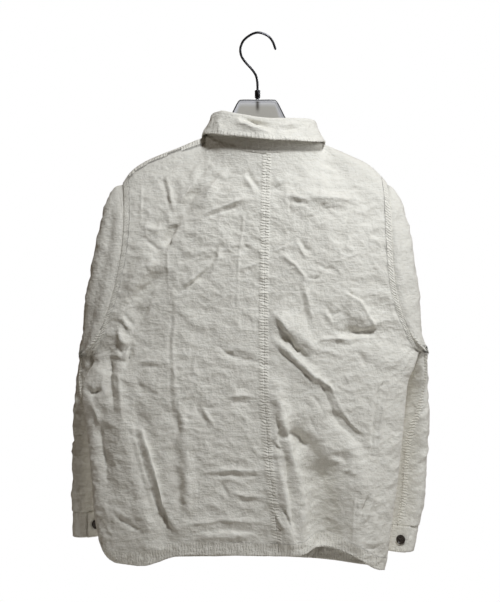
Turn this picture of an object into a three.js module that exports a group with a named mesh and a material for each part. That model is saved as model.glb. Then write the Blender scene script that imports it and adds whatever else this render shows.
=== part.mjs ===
// A cotton chore jacket hanging on its hanger, in millimetres. +Z is up, -Y is the jacket's back,
// +Y its front, and the origin is the point inside the hook's top where a rail carries it.
// Every cloth piece is a thin wall round a grid of points: rows run from the hem to the shoulder,
// or from the armhole to the cuff, and columns from a centre edge to a side seam.
import * as THREE from "three";

// Cloth and seams
const CLOTH = 1.4; // wall thickness of the washed cotton
const SEAM_GAP = 0.3; // each panel stops this far from a seam's line
const SIDE_SLACK = 1.1; // more room at the side seams, where the wall turns a corner
const SHOULDER_GAP = 0.6; // half of the gap between back and front at the shoulder
const FELL_WIDTH = 12; // width of a flat-felled seam
const FELL_RISE = 0.7; // how far its extra layers stand up
const HEM_DEPTH = 25;

// Neck and fronts
const NECK = { x: 10, y: -1, halfWidth: 92, halfDepth: 45 };
const FRONT_LAP = 20; // each front reaches this far past the centre front
const FRONT_LAYER = 1.8; // half of the distance between the two fronts where they lap
const UNDERARM = 0.5; // the share of a panel's height that lies below the underarm
const RIDGE_ROLL = 7; // how tightly the cloth rolls over the hanger's arm

// The top of each shoulder, from the neck point to the shoulder point.
const RIDGE = {
  left: [
    { x: -82, z: -170 },
    { x: -126, z: -189 },
    { x: -161, z: -202 },
    { x: -186, z: -213 },
    { x: -208, z: -228 },
    { x: -222, z: -246 },
  ],
  right: [
    { x: 102, z: -181 },
    { x: 118, z: -188 },
    { x: 148, z: -201 },
    { x: 179, z: -215 },
    { x: 198, z: -230 },
    { x: 213, z: -246 },
  ],
};
// The neckline of the back and of the fronts.
const NECKLINE = {
  back: [
    { x: -82, z: -170 },
    { x: -50, z: -185 },
    { x: -20, z: -192 },
    { x: 15, z: -196 },
    { x: 50, z: -193 },
    { x: 80, z: -188 },
    { x: 102, z: -181 },
  ],
  front: [
    { x: -82, z: -170 },
    { x: -62, z: -212 },
    { x: -30, z: -234 },
    { x: 8, z: -243 },
    { x: 46, z: -237 },
    { x: 80, z: -218 },
    { x: 102, z: -181 },
  ],
};
// The side seams, from hem to underarm.
const SIDE = {
  left: [
    { z: -852, x: -252, y: -2 },
    { z: -835, x: -260, y: -6 },
    { z: -790, x: -268, y: -8 },
    { z: -736, x: -272, y: -8 },
    { z: -680, x: -277, y: -8 },
    { z: -632, x: -283, y: -11 },
    { z: -591, x: -288, y: -14 },
    { z: -574, x: -285, y: -14 },
    { z: -556, x: -277, y: -11 },
    { z: -542, x: -269, y: -6 },
    { z: -530, x: -274, y: 0 },
  ],
  right: [
    { z: -884, x: 208, y: -4 },
    { z: -862, x: 213, y: -6 },
    { z: -786, x: 223, y: -10 },
    { z: -735, x: 230, y: -10 },
    { z: -660, x: 238, y: -10 },
    { z: -604, x: 243, y: -12 },
    { z: -571, x: 247, y: -12 },
    { z: -552, x: 256, y: -10 },
    { z: -536, x: 262, y: -6 },
    { z: -524, x: 266, y: 0 },
  ],
};
// The centre back seam and the centre front.
const CENTRE = [
  { z: -855, backX: 34, backY: -66, frontY: 56 },
  { z: -770, backX: 26, backY: -68, frontY: 56 },
  { z: -690, backX: 17, backY: -68, frontY: 55 },
  { z: -600, backX: 11, backY: -66, frontY: 54 },
  { z: -440, backX: 10, backY: -62, frontY: 52 },
  { z: -300, backX: 12, backY: -56, frontY: 49 },
  { z: -196, backX: 15, backY: -46, frontY: 44 },
];
const HEM = {
  back: [
    { x: -252, z: -852 },
    { x: -240, z: -860 },
    { x: -222, z: -868 },
    { x: -178, z: -870 },
    { x: -155, z: -865 },
    { x: -129, z: -854 },
    { x: -99, z: -850 },
    { x: 34, z: -849 },
    { x: 70, z: -848 },
    { x: 90, z: -838 },
    { x: 119, z: -842 },
    { x: 152, z: -858 },
    { x: 178, z: -876 },
    { x: 208, z: -884 },
  ],
  front: [
    { x: -252, z: -852 },
    { x: -200, z: -868 },
    { x: -90, z: -872 },
    { x: 0, z: -872 },
    { x: 90, z: -874 },
    { x: 208, z: -884 },
  ],
};

// The armholes: an upright loop from the underarm point to the shoulder point, scooped inwards.
const ARMHOLE_HALF = 36; // half of the armhole's depth from back to front
const ARMHOLE = {
  left: { underX: -274, underY: 0, underZ: -530, topX: -222, topY: 10, topZ: -246, scoop: 22, low: 0 },
  right: { underX: 266, underY: 0, underZ: -524, topX: 213, topY: 8, topZ: -246, scoop: 19, low: 0.8 },
};
// A sleeve's level sections from the shoulder point to the cuff: the middle x and y of a
// flattened loop, half of its thickness and width, and how far its back fold lies outwards.
const SLEEVE = {
  left: [
    { z: -240, x: -222, y: 10, thick: 5, wide: 6, lean: 0 },
    { z: -254, x: -222, y: 10, thick: 16, wide: 11, lean: 0 },
    { z: -281, x: -220, y: 10, thick: 30, wide: 21, lean: 0 },
    { z: -333, x: -222, y: 12, thick: 41, wide: 33, lean: 0 },
    { z: -387, x: -230, y: 18, thick: 44, wide: 42, lean: 4 },
    { z: -439, x: -246, y: 32, thick: 38, wide: 50, lean: 10 },
    { z: -493, x: -262, y: 50, thick: 30, wide: 54, lean: 14 },
    { z: -530, x: -270, y: 64, thick: 25, wide: 54, lean: 16 },
    { z: -573, x: -274, y: 80, thick: 25, wide: 57, lean: 18 },
    { z: -632, x: -276, y: 92, thick: 28, wide: 60, lean: 19 },
    { z: -715, x: -279, y: 100, thick: 29, wide: 58, lean: 19 },
    { z: -757, x: -281, y: 101, thick: 29, wide: 55, lean: 18 },
    { z: -797, x: -281, y: 99, thick: 29, wide: 50, lean: 17 },
  ],
  right: [
    { z: -240, x: 212, y: 8, thick: 5, wide: 6, lean: 0 },
    { z: -254, x: 212, y: 8, thick: 12, wide: 11, lean: 0 },
    { z: -281, x: 210, y: 8, thick: 27, wide: 21, lean: 0 },
    { z: -333, x: 214, y: 10, thick: 36, wide: 33, lean: 0 },
    { z: -387, x: 222, y: 16, thick: 38, wide: 42, lean: 4 },
    { z: -439, x: 236, y: 30, thick: 32, wide: 50, lean: 8 },
    { z: -493, x: 249, y: 48, thick: 24, wide: 54, lean: 12 },
    { z: -530, x: 257, y: 62, thick: 22, wide: 54, lean: 14 },
    { z: -573, x: 258, y: 78, thick: 23, wide: 57, lean: 16 },
    { z: -632, x: 257, y: 90, thick: 27, wide: 60, lean: 18 },
    { z: -715, x: 254, y: 97, thick: 28, wide: 58, lean: 18 },
    { z: -784, x: 250, y: 94, thick: 28, wide: 52, lean: 17 },
    { z: -820, x: 243, y: 90, thick: 27, wide: 47, lean: 15 },
  ],
};
// Places round a sleeve run from its underarm line (0) by the back over the top (0.5) to the
// underarm again (1). The underarm line's turn from the back fold, in degrees, swings inwards.
const REAR_SEAM = 0.105;
const FRONT_SEAM = 0.86;
const UNDERARM_TURN = { high: -15, low: -76, from: -540, to: -700 };
// Above the underarm a section is open towards the body and turns this far, in degrees.
const OPEN_TURN = { sweep: 205, reach: 110 };
const SLEEVE_GIRTH = 340;
const UNDERARM_FALL = 75; // the sleeve takes its own form this far below the armhole
const TUCK = 1; // the sleeve's edge is thinner by this much at the armhole
const SLEEVE_START = { top: 0.0045, underarm: 0.032 }; // the sleeve's first row, just clear of the panels
const SLEEVE_ROWS = 17;
const SLEEVE_GAP = 2.4; // each sleeve piece stops this far from its seams' lines
// The places round half of the armhole where panels and sleeves share their points.
const ARMHOLE_STOPS = [0, 0.035, 0.07, 0.105, 0.14, 0.19, 0.24, 0.29, 0.34, 0.38, 0.42, 0.455, 0.48, 0.5];
const CUFF = { height: 42, wall: 2, lap: 0.1, lapRise: 3.4, columns: 28, rows: 3, gap: 0.5 };

// Folds of the cloth: from x0, z0 to x1, z1 runs the top of a ridge, or the bottom of a trough
// where high is negative, and bow bends its middle sideways.
const FOLDS = {
  back: [
    { x0: -203, z0: -600, x1: -142, z1: -840, bow: -9, wide: 13, high: -7 },
    { x0: -228, z0: -610, x1: -170, z1: -850, bow: -8, wide: 18, high: 6 },
    { x0: -262, z0: -610, x1: -240, z1: -760, bow: 0, wide: 14, high: -7 },
    { x0: -150, z0: -395, x1: -205, z1: -470, bow: 6, wide: 15, high: -9 },
    { x0: -165, z0: -375, x1: -212, z1: -430, bow: 6, wide: 17, high: 6 },
    { x0: -136, z0: -318, x1: -150, z1: -350, bow: 0, wide: 14, high: -7 },
    { x0: -66, z0: -232, x1: -135, z1: -318, bow: 6, wide: 13, high: -5 },
    { x0: -212, z0: -500, x1: -222, z1: -536, bow: 0, wide: 15, high: 7 },
    { x0: 24, z0: -463, x1: 92, z1: -530, bow: -6, wide: 13, high: 8 },
    { x0: 20, z0: -494, x1: 84, z1: -540, bow: -8, wide: 12, high: -6 },
    { x0: 18, z0: -500, x1: 100, z1: -574, bow: -4, wide: 12, high: 6 },
    { x0: 28, z0: -566, x1: 46, z1: -700, bow: 4, wide: 17, high: 10 },
    { x0: 44, z0: -700, x1: 56, z1: -846, bow: 0, wide: 22, high: 16 },
    { x0: 40, z0: -652, x1: 96, z1: -690, bow: -4, wide: 16, high: -14 },
    { x0: 92, z0: -690, x1: 108, z1: -850, bow: 0, wide: 26, high: -30 },
    { x0: 172, z0: -660, x1: 168, z1: -880, bow: 0, wide: 24, high: 10 },
    { x0: -132, z0: -806, x1: 10, z1: -812, bow: 7, wide: 10, high: 5 },
    { x0: 116, z0: -620, x1: 180, z1: -706, bow: -12, wide: 12, high: -7 },
    { x0: 136, z0: -488, x1: 192, z1: -492, bow: 4, wide: 12, high: -7 },
    { x0: 146, z0: -430, x1: 196, z1: -486, bow: 8, wide: 14, high: 6 },
    { x0: 60, z0: -268, x1: 165, z1: -272, bow: 5, wide: 13, high: 4 },
  ],
  front: [
    { x0: -150, z0: -420, x1: -60, z1: -560, bow: 10, wide: 22, high: 7 },
    { x0: -200, z0: -500, x1: -120, z1: -640, bow: 8, wide: 20, high: -6 },
    { x0: -70, z0: -600, x1: -95, z1: -860, bow: 6, wide: 30, high: 5 },
    { x0: -150, z0: -640, x1: -165, z1: -860, bow: -6, wide: 30, high: -5 },
    { x0: 130, z0: -400, x1: 62, z1: -540, bow: -8, wide: 22, high: 7 },
    { x0: 186, z0: -490, x1: 110, z1: -650, bow: -10, wide: 20, high: -6 },
    { x0: 80, z0: -620, x1: 108, z1: -868, bow: -5, wide: 30, high: 5 },
    { x0: 152, z0: -640, x1: 158, z1: -870, bow: 4, wide: 30, high: -4 },
  ],
};
// Creases of a sleeve: their height and place round it in degrees, and their reach both ways.
const SLEEVE_FOLDS = [
  { z: -470, turn: 10, slant: 26, wide: 16, reach: 50, high: -5 },
  { z: -520, turn: 20, slant: -20, wide: 16, reach: 55, high: 5 },
  { z: -590, turn: 20, slant: 18, wide: 18, reach: 60, high: -5 },
  { z: -660, turn: 30, slant: 20, wide: 17, reach: 60, high: 4 },
  { z: -720, turn: 5, slant: -16, wide: 16, reach: 55, high: -4 },
  { z: -560, turn: 175, slant: -22, wide: 18, reach: 55, high: -5 },
  { z: -620, turn: 165, slant: 18, wide: 18, reach: 60, high: 5 },
  { z: -690, turn: 185, slant: -20, wide: 17, reach: 55, high: -4 },
  { z: -750, turn: 160, slant: 18, wide: 16, reach: 60, high: 4 },
];

// The collar's section round the neck, by its turn from the centre back in degrees: the stand
// rises and leans inwards, rolls over and falls outwards.
const COLLAR = { wall: 2.2, seam: 2.7, roll: 4.5, end: 174 };
const COLLAR_ROWS = { stand: 3, roll: 4, fall: 3 };
const COLLAR_COLUMNS = 36;
const COLLAR_FORM = [
  { turn: -174, rise: 23, lean: 4, flare: 16, drop: 66 },
  { turn: -135, rise: 27, lean: 8, flare: 18, drop: 50 },
  { turn: -110, rise: 29, lean: 11, flare: 16, drop: 36 },
  { turn: -90, rise: 30, lean: 14, flare: 14, drop: 28 },
  { turn: -60, rise: 41, lean: 10, flare: 14, drop: 32 },
  { turn: -45, rise: 48, lean: 7, flare: 15, drop: 34 },
  { turn: 0, rise: 48, lean: 6, flare: 15, drop: 32 },
  { turn: 45, rise: 42, lean: 7, flare: 15, drop: 34 },
  { turn: 60, rise: 38, lean: 9, flare: 15, drop: 33 },
  { turn: 90, rise: 29, lean: 14, flare: 14, drop: 27 },
  { turn: 110, rise: 28, lean: 11, flare: 16, drop: 36 },
  { turn: 135, rise: 27, lean: 8, flare: 18, drop: 50 },
  { turn: 174, rise: 23, lean: 4, flare: 16, drop: 66 },
];

// Patch pockets on the fronts, by the middle of their top edge.
const POCKET = { wall: 1.5, lift: 0.6, columns: 8, rows: 8, reach: 11 };
const POCKETS = [
  { name: "pocket_hip_left", side: "left", x: -118, top: -660, width: 150, height: 165 },
  { name: "pocket_hip_right", side: "right", x: 118, top: -660, width: 150, height: 165 },
  { name: "pocket_chest_left", side: "left", x: -108, top: -372, width: 104, height: 118 },
];

// Buttons
const BUTTON = { radius: 9, thick: 3, rim: 1.8, dish: 0.8, lift: 0.6, sides: 14 };
const CUFF_BUTTON = {
  radius: 8,
  fromEdge: 21,
  lift: { left: 0.6, right: 1.7 },
  turn: { left: -38, right: -20 },
};
const FRONT_BUTTONS = [-282, -420, -556, -692, -812];

// Hanger
const WIRE = { radius: 2, sides: 6, steps: 44 };
const FERRULE = {
  top: -93,
  bottom: -106,
  foot: -108.4,
  boreEnd: -104,
  radius: 4.6,
  footRadius: 3.2,
  bore: 2.4,
};
// The hook's line, from its tip over the rail and down to the ferrule.
const HOOK_LINE = [
  { x: 30, z: -26.5 },
  { x: 25.2, z: -13.4 },
  { x: 19, z: -5 },
  { x: 9.6, z: 0.3 },
  { x: -1, z: 2 },
  { x: -11.6, z: -1.8 },
  { x: -22.3, z: -10.2 },
  { x: -27.2, z: -19.6 },
  { x: -28.4, z: -28 },
  { x: -26.2, z: -37.6 },
  { x: -19, z: -48 },
  { x: -9.4, z: -58.6 },
  { x: -3.1, z: -68 },
  { x: -0.5, z: -78.4 },
  { x: 0, z: -90 },
  { x: 0, z: -103.6 },
];
// The hanger's body by distance from its middle.
const ARM = [
  { x: 0, top: -108.8, bottom: -170, thick: 10 },
  { x: 28, top: -108.8, bottom: -171, thick: 10 },
  { x: 32, top: -111.5, bottom: -172, thick: 10 },
  { x: 36, top: -118, bottom: -174, thick: 10 },
  { x: 46, top: -138, bottom: -180, thick: 10 },
  { x: 58, top: -160, bottom: -187, thick: 11 },
  { x: 70, top: -175, bottom: -199, thick: 11 },
  { x: 90, top: -190, bottom: -213, thick: 8.4 },
  { x: 116, top: -200, bottom: -223, thick: 7.2 },
  { x: 160, top: -209.6, bottom: -236, thick: 13 },
  { x: 184, top: -223.5, bottom: -248, thick: 13 },
  { x: 196, top: -236, bottom: -254, thick: 10 },
];
const ARM_SECTION = 12; // points round the hanger body's section

const MATERIAL = {
  cotton: new THREE.MeshStandardMaterial({ color: 0xddd9cc, roughness: 0.92, metalness: 0 }),
  button: new THREE.MeshStandardMaterial({ color: 0x18120f, roughness: 0.35, metalness: 0 }),
  steel: new THREE.MeshStandardMaterial({ color: 0x3f3f42, roughness: 0.25, metalness: 1 }),
  plastic: new THREE.MeshStandardMaterial({ color: 0x8d8f96, roughness: 0.3, metalness: 0 }),
};

const { lerp, clamp, smoothstep } = THREE.MathUtils;
const span = (from, to, steps) => Array.from({ length: steps + 1 }, (_, i) => lerp(from, to, i / steps));
const sideSign = { left: -1, right: 1 };

// Reads one column of a table at any key, with a smooth curve through the rows.
function read(table, keyName, key, column) {
  const last = table.length - 1;
  const rising = table[last][keyName] > table[0][keyName];
  let i = 0;
  while (i < last - 1 && (rising ? key > table[i + 1][keyName] : key < table[i + 1][keyName])) i++;
  const a = table[i];
  const b = table[i + 1];
  const step = b[keyName] - a[keyName];
  const t = clamp((key - a[keyName]) / step, 0, 1);
  const slope = (j) => {
    const p = table[Math.max(j - 1, 0)];
    const q = table[Math.min(j + 1, last)];
    return ((q[column] - p[column]) / (q[keyName] - p[keyName])) * step;
  };
  const s = t * t * (3 - 2 * t);
  const inner = (t - 1) * (t - 1) * t * slope(i) + t * t * (t - 1) * slope(i + 1);
  return lerp(a[column], b[column], s) + inner;
}

// How far the folds push a panel out at x, z.
function foldHeight(folds, x, z) {
  let height = 0;
  for (const f of folds) {
    const dx = f.x1 - f.x0;
    const dz = f.z1 - f.z0;
    const length = Math.hypot(dx, dz);
    const s = ((x - f.x0) * dx + (z - f.z0) * dz) / (length * length);
    const bend = f.bow * (1 - 4 * (clamp(s, 0, 1) - 0.5) ** 2);
    const off = ((x - f.x0) * dz - (z - f.z0) * dx) / length - bend;
    const ends = smoothstep(s, -0.12, 0.22) * (1 - smoothstep(s, 0.78, 1.12));
    height += f.high * ends * Math.exp(-((off / f.wide) ** 2));
  }
  return height;
}

// The armhole's point at `around`, and the place on its back half at a height.
function armholePoint(side, around) {
  const form = ARMHOLE[side];
  const turn = 2 * Math.PI * around;
  const up = -Math.cos(turn);
  const fore = -Math.sin(turn);
  const scoop = form.scoop * fore ** 2 * (1 - form.low * up);
  const along = (axis) => lerp(form["under" + axis], form["top" + axis], (1 + up) / 2);
  return new THREE.Vector3(along("X") - sideSign[side] * scoop, along("Y") + fore * ARMHOLE_HALF, along("Z"));
}

function armholeAround(side, z) {
  const { topZ, underZ } = ARMHOLE[side];
  const up = (z - (topZ + underZ) / 2) / ((topZ - underZ) / 2);
  return Math.acos(clamp(-up, -1, 1)) / (2 * Math.PI);
}

// A point of the sleeve's level section at height z, `turn` degrees from its back fold.
function loopPoint(side, z, turn) {
  const at = (column) => read(SLEEVE[side], "z", z, column);
  const angle = THREE.MathUtils.degToRad(turn);
  const out = at("thick") * Math.sin(angle) + at("lean") * Math.cos(angle);
  return new THREE.Vector3(at("x") + sideSign[side] * out, at("y") - at("wide") * Math.cos(angle), z);
}

// Below the armhole a line of the sleeve runs from its point there into the section's form.
function fallingPoint(side, around, turn, z) {
  const from = armholePoint(side, around);
  const fall = clamp((from.z - z) / UNDERARM_FALL, 0, 1);
  return from.setZ(z).lerp(loopPoint(side, z, turn), 1 - (1 - fall) ** 1.7);
}

// The sleeve's point at the place u round it, v of the way down from the armhole to the cuff.
function sleevePoint(side, u, v) {
  const around = (u + 1) % 1;
  const z = lerp(armholePoint(side, around).z, SLEEVE[side].at(-1).z, v);
  const edge = armholeAround(side, z);
  const s = edge > 0.4999 ? 0.5 : clamp((around - edge) / (1 - 2 * edge), 0, 1);
  const swing = smoothstep(z, UNDERARM_TURN.to, UNDERARM_TURN.from);
  const start = lerp(UNDERARM_TURN.low, UNDERARM_TURN.high, swing);
  const low = ARMHOLE[side].underZ;
  const sweep = lerp(360, OPEN_TURN.sweep, smoothstep(z, low, low + OPEN_TURN.reach));
  const end = start + sweep;
  const turn = lerp(start, end, s);
  const point = loopPoint(side, z, turn);
  point.addScaledVector(fallingPoint(side, edge, start, z).sub(loopPoint(side, z, start)), (1 - s) ** 3);
  point.addScaledVector(fallingPoint(side, 1 - edge, end, z).sub(loopPoint(side, z, end)), s ** 3);
  return { point, turn };
}

// Where a panel ends at the side: on the side seam below the underarm, on the armhole above it.
function sidePoint(side, face, v) {
  if (v >= UNDERARM) {
    const share = (0.5 * (v - UNDERARM)) / (1 - UNDERARM);
    return armholePoint(side, face === "back" ? share : 1 - share);
  }
  const table = SIDE[side];
  const z = lerp(table[0].z, table.at(-1).z, v / UNDERARM);
  return new THREE.Vector3(read(table, "z", z, "x"), read(table, "z", z, "y"), z);
}

// One row of a panel: point(u) runs from the centre edge (0) to the side (1).
function panelRow(side, face, v) {
  const sign = sideSign[side];
  const back = face === "back";
  const hem = HEM[face];
  const edge = sidePoint(side, face, v);
  const hemEdge = sidePoint(side, face, 0);
  const topEdge = sidePoint(side, face, 1);
  const neckPoint = NECK.x + sign * NECK.halfWidth;
  const topZ = (x) =>
    sign * x < sign * neckPoint ? read(NECKLINE[face], "x", x, "z") : read(RIDGE[side], "x", x, "z");
  const centreX = (z) => (back ? read(CENTRE, "z", z, "backX") : -sign * FRONT_LAP);
  const lowX = centreX(CENTRE[0].z);
  const highX = centreX(CENTRE.at(-1).z);
  const centreZ = lerp(read(hem, "x", lowX, "z"), topZ(highX), v);
  const middle = centreX(centreZ);
  const layer = back ? 0 : -sign * FRONT_LAYER;
  const centreY = read(CENTRE, "z", centreZ, back ? "backY" : "frontY") + layer;
  // The section is an arc that turns fully at the side seam, and less at the armhole.
  const turn = lerp(Math.PI / 2, 0.9, smoothstep(v, UNDERARM - 0.06, UNDERARM + 0.14));
  const arc = (angle) => [
    middle + ((edge.x - middle) * Math.sin(angle)) / Math.sin(turn),
    edge.y + ((centreY - edge.y) * (Math.cos(angle) - Math.cos(turn))) / (1 - Math.cos(turn)),
  ];
  const steps = 60;
  const lengths = [0];
  for (let i = 1; i <= steps; i++) {
    const [xa, ya] = arc((turn * (i - 1)) / steps);
    const [xb, yb] = arc((turn * i) / steps);
    lengths.push(lengths[i - 1] + Math.hypot(xb - xa, yb - ya));
  }
  const total = lengths[steps];
  const levelAt = (x, topX) => lerp(read(hem, "x", x, "z"), topZ(topX), v);
  return {
    total,
    point(u) {
      let i = 1;
      while (i < steps && lengths[i] < u * total) i++;
      const part = (u * total - lengths[i - 1]) / (lengths[i] - lengths[i - 1]);
      const [x, arcY] = arc((turn * (i - 1 + part)) / steps);
      const topX = lerp(highX, topEdge.x, u);
      const level = levelAt(lerp(lowX, hemEdge.x, u), topX);
      const z = level + u * (edge.z - levelAt(hemEdge.x, topEdge.x));
      // Near its top the cloth rolls over the hanger's arm, or ends at the neckline.
      const drop = Math.max(topZ(topX) - z, 0);
      const round = (topX - NECK.x) / NECK.halfWidth;
      const ridge = smoothstep(Math.abs(round), 1, 1.6);
      const faceSign = back ? -1 : 1;
      const neckY = NECK.y + faceSign * NECK.halfDepth * Math.sqrt(Math.max(1 - round * round, 0)) + layer;
      const outY = lerp(NECK.y, topEdge.y, smoothstep(sign * topX, sign * neckPoint, sign * topEdge.x));
      const topY = Math.abs(round) < 1 ? neckY : outY + faceSign * SHOULDER_GAP;
      const roll = Math.sqrt(drop / (drop + RIDGE_ROLL)) * lerp(0.62, 1, smoothstep(drop, 0, 170));
      const plain = smoothstep(drop, 0, 90);
      // The two faces meet along the shoulder, and part below it round the hanger's arm.
      const sideways = u ** lerp(60, 6, smoothstep(drop, 0, 8));
      const hold = lerp(lerp(plain, roll, ridge), 1, sideways);
      return new THREE.Vector3(x, lerp(topY, arcY, hold), z);
    },
  };
}

// The grid of a panel's points, with its folds.
function panelGrid(side, face, us, vs) {
  const folds = FOLDS[face];
  const out = face === "back" ? -1 : 1;
  return vs.map((v) => {
    const row = panelRow(side, face, v);
    const inset = (SEAM_GAP + SIDE_SLACK * (1 - smoothstep(v, UNDERARM, UNDERARM + 0.03))) / row.total;
    return us.map((u) => {
      const p = row.point(clamp(u, face === "back" ? SEAM_GAP / row.total : 0, 1 - inset));
      const edges = (1 - smoothstep(u, 0.88, 1)) * (1 - smoothstep(v, 0.88, 0.97));
      const centre = face === "back" ? 1 : smoothstep(u, 0.06, 0.2);
      p.y += out * foldHeight(folds, p.x, p.z) * edges * centre;
      return p;
    });
  });
}

// A closed wall round a grid of points. It reaches half of CLOTH inwards, and outwards the same
// and rise(row, column) more. flip turns its outside to the other side of the grid.
function wall(grid, { flip = false, thick = CLOTH, rise = () => 0 } = {}) {
  const rows = grid.length;
  const columns = grid[0].length;
  const normal = (j, i) => {
    const across = grid[j][Math.min(i + 1, columns - 1)].clone().sub(grid[j][Math.max(i - 1, 0)]);
    const up = grid[Math.min(j + 1, rows - 1)][i].clone().sub(grid[Math.max(j - 1, 0)][i]);
    return across.cross(up).normalize().multiplyScalar(flip ? -1 : 1);
  };
  const positions = [];
  for (const outside of [false, true])
    grid.forEach((row, j) =>
      row.forEach((p, i) => {
        const offset = outside ? thick / 2 + rise(j, i) : -thick / 2;
        positions.push(...p.clone().addScaledVector(normal(j, i), offset).toArray());
      }),
    );
  const at = (layer, j, i) => (layer * rows + j) * columns + i;
  const faces = [];
  const quad = (a, b, c, d) => (flip ? faces.push(a, c, b, a, d, c) : faces.push(a, b, c, a, c, d));
  for (let j = 0; j < rows - 1; j++)
    for (let i = 0; i < columns - 1; i++) {
      quad(at(1, j, i), at(1, j, i + 1), at(1, j + 1, i + 1), at(1, j + 1, i));
      quad(at(0, j, i), at(0, j + 1, i), at(0, j + 1, i + 1), at(0, j, i + 1));
    }
  for (let i = 0; i < columns - 1; i++) {
    quad(at(0, 0, i), at(0, 0, i + 1), at(1, 0, i + 1), at(1, 0, i));
    quad(at(1, rows - 1, i), at(1, rows - 1, i + 1), at(0, rows - 1, i + 1), at(0, rows - 1, i));
  }
  const last = columns - 1;
  for (let j = 0; j < rows - 1; j++) {
    quad(at(0, j + 1, 0), at(0, j, 0), at(1, j, 0), at(1, j + 1, 0));
    quad(at(0, j, last), at(0, j + 1, last), at(1, j + 1, last), at(1, j, last));
  }
  const geometry = new THREE.BufferGeometry();
  geometry.setAttribute("position", new THREE.Float32BufferAttribute(positions, 3));
  geometry.setIndex(faces);
  return geometry;
}

const jacket = new THREE.Group();
function addPiece(name, geometry, material) {
  const mesh = new THREE.Mesh(geometry, material);
  mesh.name = name;
  jacket.add(mesh);
  return mesh;
}

// Where the panels' columns and rows lie: a fell at the edges, a hem band, and a dense top.
const fell = FELL_WIDTH / 270;
const hemBand = HEM_DEPTH / 650;
const seamStep = 0.006;
const COLUMNS = {
  back: [0, fell, fell + seamStep, ...span(0.1, 0.9, 14), 0.95, 0.98, 1],
  front: [0, 0.09, ...span(0.17, 0.9, 8), 0.95, 0.98, 1],
};
const ROWS = [
  0,
  hemBand,
  hemBand + 0.004,
  ...span(0.09, 0.45, 7),
  ...ARMHOLE_STOPS.map((stop) => UNDERARM + 2 * (1 - UNDERARM) * stop),
];

const panels = {};
for (const side of ["left", "right"])
  for (const face of ["back", "front"]) {
    const us = COLUMNS[face];
    const grid = panelGrid(side, face, us, ROWS);
    const flip = (face === "back") === (side === "left");
    const rise = (j, i) => {
      const hem = ROWS[j] <= hemBand;
      const centre = face === "back" && side === "left" && us[i] <= fell;
      const shoulder = face === "back" && side === "left" && us[i] > 0.36 && ROWS[j] >= 0.98;
      return hem || centre || shoulder ? FELL_RISE : 0;
    };
    panels[`${face}_${side}`] = { grid, flip };
    addPiece(`${face}_${side}`, wall(grid, { flip, rise }), MATERIAL.cotton);
  }

// The two pieces of each sleeve meet at its rear and front seams.
const mirrored = (from) => ARMHOLE_STOPS.slice(0, -1).reverse().map((stop) => from - stop);
const underStops = [...mirrored(0), ...ARMHOLE_STOPS.slice(1)].filter(
  (stop) => stop >= FRONT_SEAM - 1.0001 && stop <= REAR_SEAM,
);
const upperStops = [...ARMHOLE_STOPS, ...mirrored(1)].filter(
  (stop) => stop >= REAR_SEAM && stop <= FRONT_SEAM + 0.0001,
);
function sleeveGrid(side, stops) {
  const gap = SLEEVE_GAP / SLEEVE_GIRTH;
  const axis = (z) => new THREE.Vector3(read(SLEEVE[side], "z", z, "x"), read(SLEEVE[side], "z", z, "y"), z);
  return span(0, 1, SLEEVE_ROWS - 1).map((v) =>
    stops.map((stop) => {
      const low = (0.5 + 0.5 * Math.cos(2 * Math.PI * stop)) ** 6;
      const first = lerp(SLEEVE_START.top, SLEEVE_START.underarm, low);
      const around = clamp(stop, stops[0] + gap, stops.at(-1) - gap);
      const { point, turn } = sleevePoint(side, around, Math.max(v, first));
      let push = 0;
      for (const f of SLEEVE_FOLDS) {
        const away = ((turn - f.turn + 540) % 360) - 180;
        const off = point.z - f.z - (f.slant * away) / f.reach;
        push += f.high * Math.exp(-((off / f.wide) ** 2) - (away / f.reach) ** 2);
      }
      const outward = point.clone().sub(axis(point.z)).normalize();
      return point.addScaledVector(outward, push * smoothstep(v, 0.05, 0.3) * (1 - smoothstep(v, 0.93, 1)));
    }),
  );
}

// The sleeve's first row is tucked under, so that it clears the panels in the armpit's corner.
const tucked = (row) => (row === 0 ? -TUCK : 0);
const cuffs = {};
for (const side of ["left", "right"]) {
  const flip = side === "right";
  for (const [piece, stops] of [["upper", upperStops], ["under", underStops]]) {
    const geometry = wall(sleeveGrid(side, stops), { flip, rise: tucked });
    addPiece(`sleeve_${piece}_${side}`, geometry, MATERIAL.cotton);
  }
  // The cuff goes once round and laps over itself where its button closes it.
  const ends = SLEEVE[side].at(-1);
  const before = SLEEVE[side].at(-2);
  const middle = new THREE.Vector3(ends.x, ends.y, ends.z);
  const drift = new THREE.Vector3(ends.x - before.x, ends.y - before.y, ends.z - before.z);
  const cuffPoint = (turn, down, lift) => {
    const ring = loopPoint(side, ends.z, turn);
    const outward = ring.clone().sub(middle).normalize();
    return ring.addScaledVector(outward, lift).addScaledVector(drift, -down / drift.z);
  };
  const grid = span(0, 1, CUFF.rows).map((t) =>
    span(0, 1 + CUFF.lap, CUFF.columns).map((turned) => {
      const turn = CUFF_BUTTON.turn[side] - 20 + 360 * turned;
      return cuffPoint(turn, CUFF.gap + t * CUFF.height, CUFF.lapRise * smoothstep(turned, 0.84, 0.97) - 0.4);
    }),
  );
  cuffs[side] = { cuffPoint, middle };
  addPiece(`cuff_${side}`, wall(grid, { flip, thick: CUFF.wall }), MATERIAL.cotton);
}

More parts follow.
